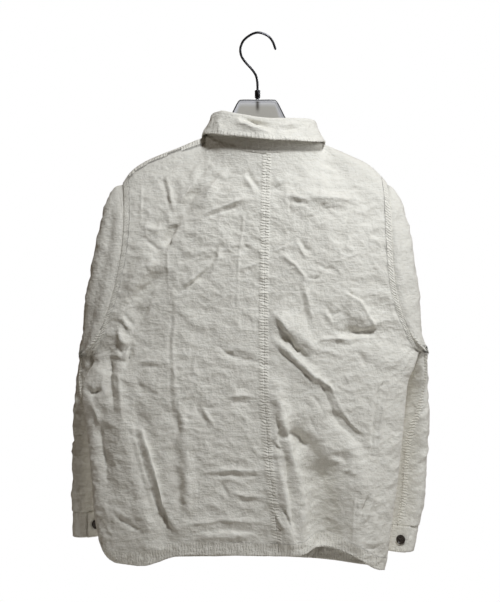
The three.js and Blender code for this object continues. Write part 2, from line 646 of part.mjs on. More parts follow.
// The collar, from one end at the centre front round the back neck to the other.
{
  const rows = [];
  const turns = span(-COLLAR.end, COLLAR.end, COLLAR_COLUMNS);
  const rowCount = COLLAR_ROWS.stand + COLLAR_ROWS.roll + COLLAR_ROWS.fall;
  for (let k = 0; k <= rowCount; k++)
    rows.push(
      turns.map((degrees) => {
        const form = (column) => read(COLLAR_FORM, "turn", degrees, column);
        const angle = THREE.MathUtils.degToRad(degrees);
        const x = NECK.x + NECK.halfWidth * Math.sin(angle);
        const y = NECK.y - NECK.halfDepth * Math.cos(angle);
        const base = read(NECKLINE[Math.abs(degrees) < 90 ? "back" : "front"], "x", x, "z") + COLLAR.seam;
        const r = COLLAR.roll;
        let out = 0;
        let up = 0;
        if (k <= COLLAR_ROWS.stand) {
          const t = k / COLLAR_ROWS.stand;
          out = -form("lean") * t * t;
          up = (form("rise") - r) * t;
        } else if (k <= COLLAR_ROWS.stand + COLLAR_ROWS.roll) {
          const t = (k - COLLAR_ROWS.stand) / COLLAR_ROWS.roll;
          out = -form("lean") + r - r * Math.cos(Math.PI * t);
          up = form("rise") - r + r * Math.sin(Math.PI * t);
        } else {
          const t = (k - COLLAR_ROWS.stand - COLLAR_ROWS.roll) / COLLAR_ROWS.fall;
          out = -form("lean") + 2 * r + form("flare") * t ** 1.3;
          up = form("rise") - r - form("drop") * t;
        }
        const facing = new THREE.Vector3(Math.sin(angle), -Math.cos(angle), 0);
        return new THREE.Vector3(x, y, base + up).addScaledVector(facing, out);
      }),
    );
  addPiece("collar", wall(rows, { flip: false, thick: COLLAR.wall }), MATERIAL.cotton);
}

// The depth of a panel's surface at x, z, on the triangle of its grid that lies there.
function surfaceY(grid, x, z) {
  for (let j = 0; j < grid.length - 1; j++)
    for (let i = 0; i < grid[0].length - 1; i++) {
      const corners = [grid[j][i], grid[j][i + 1], grid[j + 1][i + 1], grid[j + 1][i]];
      for (const [a, b, c] of [
        [corners[0], corners[1], corners[2]],
        [corners[0], corners[2], corners[3]],
      ]) {
        const area = (b.x - a.x) * (c.z - a.z) - (c.x - a.x) * (b.z - a.z);
        const s = ((x - a.x) * (c.z - a.z) - (c.x - a.x) * (z - a.z)) / area;
        const t = ((b.x - a.x) * (z - a.z) - (x - a.x) * (b.z - a.z)) / area;
        if (s >= 0 && t >= 0 && s + t <= 1) return a.y + s * (b.y - a.y) + t * (c.y - a.y);
      }
    }
  throw new Error(`no panel at ${x}, ${z}`);
}

// The highest that a front stands within reach of x, z, on which a stiffer piece lies.
function highestY(grid, x, z, reach) {
  const around = [-1, -0.5, 0, 0.5, 1].map((share) => share * reach);
  return Math.max(...around.flatMap((d) => [surfaceY(grid, x + d, z), surfaceY(grid, x, z + d)]));
}

// A patch pocket follows its front panel's surface, moved out.
for (const { name, side, x, top, width, height } of POCKETS) {
  const { grid, flip } = panels[`front_${side}`];
  const half = (-sideSign[side] * width) / 2;
  const lift = (CLOTH + POCKET.wall) / 2 + POCKET.lift;
  const points = span(top - height, top, POCKET.rows).map((z) =>
    span(x + half, x - half, POCKET.columns).map(
      (at) => new THREE.Vector3(at, highestY(grid, at, z, POCKET.reach) + lift, z),
    ),
  );
  addPiece(name, wall(points, { flip, thick: POCKET.wall }), MATERIAL.cotton);
}

// A four-hole button's turned body, its back face at the origin and its front towards +Y.
function buttonGeometry(radius) {
  const { thick, rim, dish, sides } = BUTTON;
  const profile = [
    [0, 0],
    [radius - 1, 0],
    [radius, 0.8],
    [radius, thick - 0.8],
    [radius - 0.8, thick],
    [radius - rim, thick],
    [radius - rim - 1, thick - dish],
    [0, thick - dish],
  ];
  return new THREE.LatheGeometry(profile.map(([x, y]) => new THREE.Vector2(x, y)), sides);
}

FRONT_BUTTONS.forEach((z, index) => {
  const mesh = addPiece(`button_front_${index + 1}`, buttonGeometry(BUTTON.radius), MATERIAL.button);
  mesh.position.set(0, highestY(panels.front_left.grid, 0, z, BUTTON.radius) + CLOTH / 2 + BUTTON.lift, z);
});

for (const side of ["left", "right"]) {
  const { turn, radius, lift, fromEdge } = CUFF_BUTTON;
  const { cuffPoint, middle } = cuffs[side];
  const down = CUFF.gap + CUFF.height - fromEdge;
  const under = cuffPoint(turn[side], down, 0);
  const above = cuffPoint(turn[side], down, CUFF.lapRise + CUFF.wall / 2 + lift[side]);
  const beside = cuffPoint(turn[side] + 4, down, 0).sub(cuffPoint(turn[side] - 4, down, 0));
  const facing = new THREE.Vector3(beside.y, -beside.x, 0).multiplyScalar(sideSign[side]).normalize();
  const mesh = addPiece(`button_cuff_${side}`, buttonGeometry(radius), MATERIAL.button);
  mesh.position.copy(under.addScaledVector(facing, above.sub(under).dot(facing)));
  mesh.quaternion.setFromUnitVectors(new THREE.Vector3(0, 1, 0), facing);
}

// Hanger: the hook's wire, the ferrule that it turns in, and the moulded body.
{
  const stops = HOOK_LINE.map(({ x, z }) => new THREE.Vector3(x, 0, z));
  const line = new THREE.CatmullRomCurve3(stops, false, "centripetal");
  const circle = new THREE.Shape();
  circle.absarc(0, 0, WIRE.radius, 0, 2 * Math.PI);
  const wire = new THREE.ExtrudeGeometry(circle, {
    steps: WIRE.steps,
    curveSegments: WIRE.sides,
    extrudePath: line,
    bevelEnabled: false,
  });
  addPiece("hanger_hook", wire, MATERIAL.steel);

  const { top, bottom, foot, radius, footRadius, bore, boreEnd } = FERRULE;
  const profile = [
    [0, foot],
    [footRadius, foot],
    [footRadius, bottom],
    [radius, bottom + 1],
    [radius, top - 1],
    [radius - 1, top],
    [bore, top],
    [bore, boreEnd],
    [0, boreEnd],
  ];
  const ferrule = new THREE.LatheGeometry(profile.map(([x, y]) => new THREE.Vector2(x, y)), 20);
  ferrule.rotateX(Math.PI / 2);
  addPiece("hanger_ferrule", ferrule, MATERIAL.steel);

  const sections = [...ARM.slice(1).reverse().map((a) => ({ ...a, x: -a.x })), ...ARM];
  const rows = sections.map(({ x, top: high, bottom: low, thick }) =>
    Array.from({ length: ARM_SECTION }, (_, i) => {
      const angle = (2 * Math.PI * (i + 0.5)) / ARM_SECTION;
      const squared = (c) => Math.sign(c) * Math.abs(c) ** 0.55;
      return new THREE.Vector3(
        x,
        (thick / 2) * squared(Math.cos(angle)),
        (high + low) / 2 + ((high - low) / 2) * squared(Math.sin(angle)),
      );
    }),
  );
  const positions = rows.flat().flatMap((p) => p.toArray());
  const faces = [];
  const n = ARM_SECTION;
  for (let j = 0; j < rows.length - 1; j++)
    for (let i = 0; i < n; i++) {
      const k = (i + 1) % n;
      faces.push(j * n + i, (j + 1) * n + k, (j + 1) * n + i, j * n + i, j * n + k, (j + 1) * n + k);
    }
  const endOf = (j) => j * n;
  for (let i = 1; i < n - 1; i++) {
    faces.push(endOf(0), endOf(0) + i + 1, endOf(0) + i);
    const e = endOf(rows.length - 1);
    faces.push(e, e + i, e + i + 1);
  }
  const body = new THREE.BufferGeometry();
  body.setAttribute("position", new THREE.Float32BufferAttribute(positions, 3));
  body.setIndex(faces);
  addPiece("hanger_body", body, MATERIAL.plastic);
}

export default jacket;
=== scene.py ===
"""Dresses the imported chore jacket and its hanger: cloth, seams, creases, buttons, hanger, light and camera.

Lengths are millimetres until a mesh is made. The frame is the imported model's own: +Z up, -Y the jacket's back,
+Y its front, +X the wearer's right, with the origin inside the top of the hanger's hook.
"""

from __future__ import annotations

import logging
import math
from dataclasses import dataclass, field
from enum import Enum
from typing import Any, Callable, Sequence

import bpy
import numpy as np
from mathutils import Matrix, Vector
from mathutils.bvhtree import BVHTree

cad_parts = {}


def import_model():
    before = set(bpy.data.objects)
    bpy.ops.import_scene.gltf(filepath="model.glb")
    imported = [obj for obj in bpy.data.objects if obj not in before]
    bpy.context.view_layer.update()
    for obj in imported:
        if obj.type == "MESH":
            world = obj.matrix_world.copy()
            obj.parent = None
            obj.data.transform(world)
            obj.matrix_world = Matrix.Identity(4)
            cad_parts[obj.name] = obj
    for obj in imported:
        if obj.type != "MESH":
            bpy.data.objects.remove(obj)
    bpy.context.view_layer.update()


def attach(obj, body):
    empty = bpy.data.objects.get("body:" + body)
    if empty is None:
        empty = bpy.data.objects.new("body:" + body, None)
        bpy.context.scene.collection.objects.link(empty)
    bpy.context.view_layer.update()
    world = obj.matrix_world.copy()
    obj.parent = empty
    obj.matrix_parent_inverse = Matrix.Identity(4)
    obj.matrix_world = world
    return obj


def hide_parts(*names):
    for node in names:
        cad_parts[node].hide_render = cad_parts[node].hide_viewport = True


LOG = logging.getLogger("chore_jacket")
MM = 0.001
BODY = "root"

Array = np.ndarray


class Side(Enum):
    """The wearer's left lies towards -X and the right towards +X."""

    LEFT = -1
    RIGHT = 1

    @property
    def word(self) -> str:
        """The side's name in node names."""
        return self.name.lower()


class Face(Enum):
    """Which of the body's two faces a panel is."""

    BACK = -1
    FRONT = 1

    @property
    def word(self) -> str:
        """The face's name in node names."""
        return self.name.lower()


def ramp(value: Array | float, low: float, high: float) -> Array:
    """A smooth step from 0 at low to 1 at high.

    Args:
        value: Where the step is read.
        low: The value at which it is 0.
        high: The value at which it is 1.

    Returns:
        The step's height at each value.
    """
    t = np.clip((np.asarray(value, float) - low) / (high - low), 0, 1)
    return t * t * (3 - 2 * t)


def mix(a: Array | float, b: Array | float, share: Array | float) -> Array:
    """The value `share` of the way from a to b."""
    return a + (b - a) * share


def unit(vectors: Array) -> Array:
    """The same vectors at length 1."""
    return vectors / np.maximum(np.linalg.norm(vectors, axis=-1, keepdims=True), 1e-9)


class Table:
    """A short table of sizes, read with a smooth curve through its rows.

    Args:
        columns: The columns' names, the key's first.
        rows: One row of numbers for each section.
    """

    def __init__(self, columns: str, *rows: Sequence[float]) -> None:
        data = np.array(rows, float)
        if data[0, 0] > data[-1, 0]:
            data = data[::-1]
        self.key = data[:, 0]
        self.columns = {name: data[:, i] for i, name in enumerate(columns.split())}

    def read(self, key: Array | float, column: str) -> Array:
        """One column's value at a key.

        Args:
            key: Where to read, clamped to the table's ends.
            column: The column's name.

        Returns:
            The value on the Hermite curve through the rows.
        """
        values = self.columns[column]
        last = len(values) - 1
        low, high = np.maximum(np.arange(last + 1) - 1, 0), np.minimum(np.arange(last + 1) + 1, last)
        slopes = (values[high] - values[low]) / (self.key[high] - self.key[low])
        key = np.asarray(key, float)
        i = np.clip(np.searchsorted(self.key, key) - 1, 0, last - 1)
        step = self.key[i + 1] - self.key[i]
        t = np.clip((key - self.key[i]) / step, 0, 1)
        inner = (t - 1) ** 2 * t * slopes[i] + t * t * (t - 1) * slopes[i + 1]
        return mix(values[i], values[i + 1], t * t * (3 - 2 * t)) + inner * step


# The jacket's form, as in the solids

CLOTH = 1.4
SHOULDER_GAP = 0.6
FELL_WIDTH = 12.0
FELL_RISE = 0.7
HEM_DEPTH = 25.0
UNDERARM = 0.5
RIDGE_ROLL = 7.0
FRONT_LAP = 20.0
FRONT_LAYER = 1.8
ARMHOLE_HALF = 36.0
REAR_SEAM = 0.105
FRONT_SEAM = 0.86
SLEEVE_GIRTH = 340.0
SEAM_LAP = 3.0
UNDERARM_FALL = 75.0
TUCK = 1.0


@dataclass(frozen=True)
class Neck:
    """The neckline's ellipse, seen from above."""

    x: float = 10.0
    y: float = -1.0
    half_width: float = 92.0
    half_depth: float = 45.0


NECK = Neck()

NECKLINE = {
    Face.BACK: Table("x z", (-82, -170), (-50, -185), (-20, -192), (15, -196), (50, -193), (80, -188), (102, -181)),
    Face.FRONT: Table("x z", (-82, -170), (-62, -212), (-30, -234), (8, -243), (46, -237), (80, -218), (102, -181)),
}
CENTRE = Table(
    "z back_x back_y front_y",
    (-855, 34, -66, 56),
    (-770, 26, -68, 56),
    (-690, 17, -68, 55),
    (-600, 11, -66, 54),
    (-440, 10, -62, 52),
    (-300, 12, -56, 49),
    (-196, 15, -46, 44),
)
CENTRE_LOW, CENTRE_HIGH = -855.0, -196.0
HEM = {
    Face.BACK: Table(
        "x z",
        (-252, -852),
        (-240, -860),
        (-222, -868),
        (-178, -870),
        (-155, -865),
        (-129, -854),
        (-99, -850),
        (34, -849),
        (70, -848),
        (90, -838),
        (119, -842),
        (152, -858),
        (178, -876),
        (208, -884),
    ),
    Face.FRONT: Table("x z", (-252, -852), (-200, -868), (-90, -872), (0, -872), (90, -874), (208, -884)),
}


@dataclass(frozen=True)
class SideForm:
    """One half of the jacket: its shoulder, side seam, armhole and sleeve.

    The armhole is an upright loop from its underarm point to its shoulder point, scooped inwards, and the
    sleeve is a table of level sections: a flattened loop's middle, half of its thickness and width, and how
    far its back fold leans outwards.
    """

    side: Side
    ridge: Table
    seam: Table
    seam_low: float
    seam_high: float
    under: tuple[float, float, float]
    top: tuple[float, float, float]
    scoop: float
    low_scoop: float
    sleeve: Table
    cuff_z: float
    cuff_drift: tuple[float, float]
    button_turn: float
    button_lift: float

    @property
    def sign(self) -> int:
        """-1 on the left and 1 on the right."""
        return self.side.value

    def armhole(self, around: Array) -> Array:
        """The armhole's points at places round it, from 0 at the underarm by the back to 1."""
        around = np.asarray(around, float)
        turn = 2 * np.pi * around
        up, fore = -np.cos(turn), -np.sin(turn)
        low, high = np.array(self.under, float), np.array(self.top, float)
        points = low + ((1 + up) / 2)[..., None] * (high - low)
        points[..., 0] -= self.sign * self.scoop * fore**2 * (1 - self.low_scoop * up)
        points[..., 1] += fore * ARMHOLE_HALF
        return points

    def armhole_place(self, z: Array) -> Array:
        """The place on the armhole's back half at a height."""
        middle, half = (self.top[2] + self.under[2]) / 2, (self.top[2] - self.under[2]) / 2
        return np.arccos(np.clip(-(z - middle) / half, -1, 1)) / (2 * np.pi)

    def loop(self, z: Array, turn: Array) -> Array:
        """Points of the sleeve's level sections, `turn` degrees from their back fold."""
        angle = np.radians(turn)
        out = self.sleeve.read(z, "thick") * np.sin(angle) + self.sleeve.read(z, "lean") * np.cos(angle)
        x = self.sleeve.read(z, "x") + self.sign * out
        y = self.sleeve.read(z, "y") - self.sleeve.read(z, "wide") * np.cos(angle)
        return np.stack([x, y, np.broadcast_to(z, x.shape)], -1)

    def falling(self, around: Array, turn: Array, z: Array) -> Array:
        """Points below the armhole, on their way from its edge to the section's own form."""
        start = self.armhole(around)
        fall = np.clip((start[..., 2] - z) / UNDERARM_FALL, 0, 1)
        start[..., 2] = z
        return mix(start, self.loop(z, turn), (1 - (1 - fall) ** 1.7)[..., None])

    def sleeve_points(self, u: Array, v: Array) -> tuple[Array, Array]:
        """The sleeve's surface.

        Args:
            u: The place round it, from the underarm line by the back over the top to the line again.
            v: The share of the way from the armhole down to the cuff.

        Returns:
            The points, and each one's turn in degrees from the back fold.
        """
        around = np.mod(u + 1, 1)
        z = mix(self.armhole(around)[..., 2], self.cuff_z, v)
        edge = self.armhole_place(z)
        free = edge <= 0.4999
        s = np.where(free, np.clip((around - edge) / np.where(free, 1 - 2 * edge, 1), 0, 1), 0.5)
        start = mix(-76.0, -15.0, ramp(z, -700, -540))
        low = self.under[2]
        sweep = mix(360.0, 205.0, ramp(z, low, low + 110))
        end = start + sweep
        turn = mix(start, end, s)
        to_rear = (self.falling(edge, start, z) - self.loop(z, start)) * ((1 - s) ** 3)[..., None]
        to_front = (self.falling(1 - edge, end, z) - self.loop(z, end)) * (s**3)[..., None]
        return self.loop(z, turn) + to_rear + to_front, turn


LEFT = SideForm(
    side=Side.LEFT,
    ridge=Table("x z", (-82, -170), (-126, -189), (-161, -202), (-186, -213), (-208, -228), (-222, -246)),
    seam=Table(
        "z x y",
        (-852, -252, -2),
        (-835, -260, -6),
        (-790, -268, -8),
        (-736, -272, -8),
        (-680, -277, -8),
        (-632, -283, -11),
        (-591, -288, -14),
        (-574, -285, -14),
        (-556, -277, -11),
        (-542, -269, -6),
        (-530, -274, 0),
    ),
    seam_low=-852,
    seam_high=-530,
    under=(-274, 0, -530),
    top=(-222, 10, -246),
    scoop=22,
    low_scoop=0,
    sleeve=Table(
        "z x y thick wide lean",
        (-240, -222, 10, 5, 6, 0),
        (-254, -222, 10, 16, 11, 0),
        (-281, -220, 10, 30, 21, 0),
        (-333, -222, 12, 41, 33, 0),
        (-387, -230, 18, 44, 42, 4),
        (-439, -246, 32, 38, 50, 10),
        (-493, -262, 50, 30, 54, 14),
        (-530, -270, 64, 25, 54, 16),
        (-573, -274, 80, 25, 57, 18),
        (-632, -276, 92, 28, 60, 19),
        (-715, -279, 100, 29, 58, 19),
        (-757, -281, 101, 29, 55, 18),
        (-797, -281, 99, 29, 50, 17),
    ),
    cuff_z=-797,
    cuff_drift=(0.0, 0.05),
    button_turn=-38,
    button_lift=0.6,
)
RIGHT = SideForm(
    side=Side.RIGHT,
    ridge=Table("x z", (102, -181), (118, -188), (148, -201), (179, -215), (198, -230), (213, -246)),
    seam=Table(
        "z x y",
        (-884, 208, -4),
        (-862, 213, -6),
        (-786, 223, -10),
        (-735, 230, -10),
        (-660, 238, -10),
        (-604, 243, -12),
        (-571, 247, -12),
        (-552, 256, -10),
        (-536, 262, -6),
        (-524, 266, 0),
    ),
    seam_low=-884,
    seam_high=-524,
    under=(266, 0, -524),
    top=(213, 8, -246),
    scoop=19,
    low_scoop=0.8,
    sleeve=Table(
        "z x y thick wide lean",
        (-240, 212, 8, 5, 6, 0),
        (-254, 212, 8, 12, 11, 0),
        (-281, 210, 8, 27, 21, 0),
        (-333, 214, 10, 36, 33, 0),
        (-387, 222, 16, 38, 42, 4),
        (-439, 236, 30, 32, 50, 8),
        (-493, 249, 48, 24, 54, 12),
        (-530, 257, 62, 22, 54, 14),
        (-573, 258, 78, 23, 57, 16),
        (-632, 257, 90, 27, 60, 18),
        (-715, 254, 97, 28, 58, 18),
        (-784, 250, 94, 28, 52, 17),
        (-820, 243, 90, 27, 47, 15),
    ),
    cuff_z=-820,
    cuff_drift=(7 / 36, 4 / 36),
    button_turn=-20,
    button_lift=1.7,
)
SIDES = (LEFT, RIGHT)


# Folds and creases


@dataclass(frozen=True)
class Fold:
    """A large fold of a panel: a ridge, or a trough where high is negative, from x0, z0 to x1, z1."""

    x0: float
    z0: float
    x1: float
    z1: float
    bow: float
    wide: float
    high: float

    def height(self, x: Array, z: Array) -> Array:
        """How far the fold pushes the cloth out at x, z."""
        dx, dz = self.x1 - self.x0, self.z1 - self.z0
        length = math.hypot(dx, dz)
        s = ((x - self.x0) * dx + (z - self.z0) * dz) / length**2
        bend = self.bow * (1 - 4 * (np.clip(s, 0, 1) - 0.5) ** 2)
        off = ((x - self.x0) * dz - (z - self.z0) * dx) / length - bend
        ends = ramp(s, -0.12, 0.22) * (1 - ramp(s, 0.78, 1.12))
        return self.high * ends * np.exp(-((off / self.wide) ** 2))


FOLDS = {
    Face.BACK: (
        Fold(-203, -600, -142, -840, -9, 13, -7),
        Fold(-228, -610, -170, -850, -8, 18, 6),
        Fold(-262, -610, -240, -760, 0, 14, -7),
        Fold(-150, -395, -205, -470, 6, 15, -9),
        Fold(-165, -375, -212, -430, 6, 17, 6),
        Fold(-136, -318, -150, -350, 0, 14, -7),
        Fold(-66, -232, -135, -318, 6, 13, -5),
        Fold(-212, -500, -222, -536, 0, 15, 7),
        Fold(24, -463, 92, -530, -6, 13, 8),
        Fold(20, -494, 84, -540, -8, 12, -6),
        Fold(18, -500, 100, -574, -4, 12, 6),
        Fold(28, -566, 46, -700, 4, 17, 10),
        Fold(44, -700, 56, -846, 0, 22, 16),
        Fold(40, -652, 96, -690, -4, 16, -14),
        Fold(92, -690, 108, -850, 0, 26, -30),
        Fold(172, -660, 168, -880, 0, 24, 10),
        Fold(-132, -806, 10, -812, 7, 10, 5),
        Fold(116, -620, 180, -706, -12, 12, -7),
        Fold(136, -488, 192, -492, 4, 12, -7),
        Fold(146, -430, 196, -486, 8, 14, 6),
        Fold(60, -268, 165, -272, 5, 13, 4),
    ),
    Face.FRONT: (
        Fold(-150, -420, -60, -560, 10, 22, 7),
        Fold(-200, -500, -120, -640, 8, 20, -6),
        Fold(-70, -600, -95, -860, 6, 30, 5),
        Fold(-150, -640, -165, -860, -6, 30, -5),
        Fold(130, -400, 62, -540, -8, 22, 7),
        Fold(186, -490, 110, -650, -10, 20, -6),
        Fold(80, -620, 108, -868, -5, 30, 5),
        Fold(152, -640, 158, -870, 4, 30, -4),
    ),
}


@dataclass(frozen=True)
class SleeveFold:
    """A fold across a sleeve, by its height and its place round it in degrees."""

    z: float
    turn: float
    slant: float
    wide: float
    reach: float
    high: float

    def height(self, z: Array, turn: Array) -> Array:
        """How far the fold pushes the sleeve out at a height and a turn."""
        away = np.mod(turn - self.turn + 540, 360) - 180
        off = z - self.z - self.slant * away / self.reach
        return self.high * np.exp(-((off / self.wide) ** 2) - (away / self.reach) ** 2)


SLEEVE_FOLDS = (
    SleeveFold(-470, 10, 26, 16, 50, -5),
    SleeveFold(-520, 20, -20, 16, 55, 5),
    SleeveFold(-590, 20, 18, 18, 60, -5),
    SleeveFold(-660, 30, 20, 17, 60, 4),
    SleeveFold(-720, 5, -16, 16, 55, -4),
    SleeveFold(-560, 175, -22, 18, 55, -5),
    SleeveFold(-620, 165, 18, 18, 60, 5),
    SleeveFold(-690, 185, -20, 17, 55, -4),
    SleeveFold(-750, 160, 18, 16, 60, 4),
)
# Smaller creases that the solids leave out.
SLEEVE_CREASES = (
    SleeveFold(-300, 80, -16, 5, 45, -1.6),
    SleeveFold(-345, 60, 20, 6, 50, 1.6),
    SleeveFold(-398, 75, -18, 5, 55, -1.8),
    SleeveFold(-440, 55, 22, 5, 50, 1.8),
    SleeveFold(-486, 40, -22, 5, 55, -2.2),
    SleeveFold(-512, 70, 24, 6, 60, 2.0),
    SleeveFold(-541, 50, 16, 4, 60, -2.2),
    SleeveFold(-566, 35, -20, 5, 50, 2.0),
    SleeveFold(-604, 60, 22, 5, 60, -2.0),
    SleeveFold(-628, 30, 18, 5, 55, 1.8),
    SleeveFold(-676, 45, -16, 5, 60, -1.8),
    SleeveFold(-701, 20, 18, 5, 55, 1.8),
    SleeveFold(-739, 60, 14, 5, 65, -1.8),
    SleeveFold(-765, 30, -12, 5, 60, 1.6),
    SleeveFold(-520, 200, 20, 6, 55, -2.0),
    SleeveFold(-585, 185, -20, 5, 55, 2.0),
    SleeveFold(-640, 205, 18, 5, 60, -2.0),
    SleeveFold(-668, 170, -18, 5, 55, 1.8),
    SleeveFold(-718, 200, 16, 5, 60, -1.8),
    SleeveFold(-770, 190, -12, 5, 60, 1.6),
    SleeveFold(-610, 115, 16, 6, 45, 1.6),
    SleeveFold(-700, 120, -14, 6, 45, -1.5),
)


class Crest(Enum):
    """The section of a crease."""

    RIDGE = 1
    TROUGH = 2
    LEDGE = 3  # high on the right of its line, as it is followed, and low on the left


@dataclass(frozen=True)
class Crease:
    """A crease placed along two or more points of x, z."""

    crest: Crest
    wide: float
    high: float
    points: tuple[tuple[float, float], ...]

    def height(self, x: Array, z: Array) -> Array:
        """How far the crease pushes the cloth out at x, z.

        Args:
            x: Places across.
            z: Heights.

        Returns:
            The push at each place.
        """
        stops = np.array(self.points, float)
        legs = np.diff(stops, axis=0)
        lengths = np.linalg.norm(legs, axis=1)
        total = lengths.sum()
        reach = 4 * self.wide
        low, high = stops.min(0) - reach, stops.max(0) + reach
        near = (x > low[0]) & (x < high[0]) & (z > low[1]) & (z < high[1])
        out = np.zeros(x.shape)
        if not near.any():
            return out
        px, pz = x[near], z[near]
        best = np.full(px.shape, 1e9)
        along = np.zeros(px.shape)
        off = np.zeros(px.shape)
        before = 0.0
        last = len(legs) - 1
        for i, (leg, length) in enumerate(zip(legs, lengths)):
            rx, rz = px - stops[i, 0], pz - stops[i, 1]
            s = (rx * leg[0] + rz * leg[1]) / length
            held = np.clip(s, -reach if i == 0 else 0, length + (reach if i == last else 0))
            cross = (rx * leg[1] - rz * leg[0]) / length
            gap = np.hypot(s - held, cross)
            closer = gap < best
            best = np.where(closer, gap, best)
            along = np.where(closer, before + s, along)
            off = np.where(closer, np.copysign(gap, cross), off)
            before += length
        taper = min(0.42 * total, 2.6 * self.wide + 0.18 * total)
        ends = ramp(along, -0.25 * taper, taper) * (1 - ramp(along, total - taper, total + 0.25 * taper))
        t = off / (CREASE_WIDTH * self.wide)
        section = {
            Crest.RIDGE: np.exp(-np.abs(t) ** 1.25),
            Crest.TROUGH: -np.exp(-np.abs(t) ** 1.25),
            Crest.LEDGE: t * np.exp(0.5 - t * t / 2),
        }[self.crest]
        out[near] = self.high * ends * section
        return out


R, T, L = Crest.RIDGE, Crest.TROUGH, Crest.LEDGE
CREASE_DEPTH = 1.9  # how much deeper every crease is than its row says
CREASE_WIDTH = 0.72  # and how much narrower

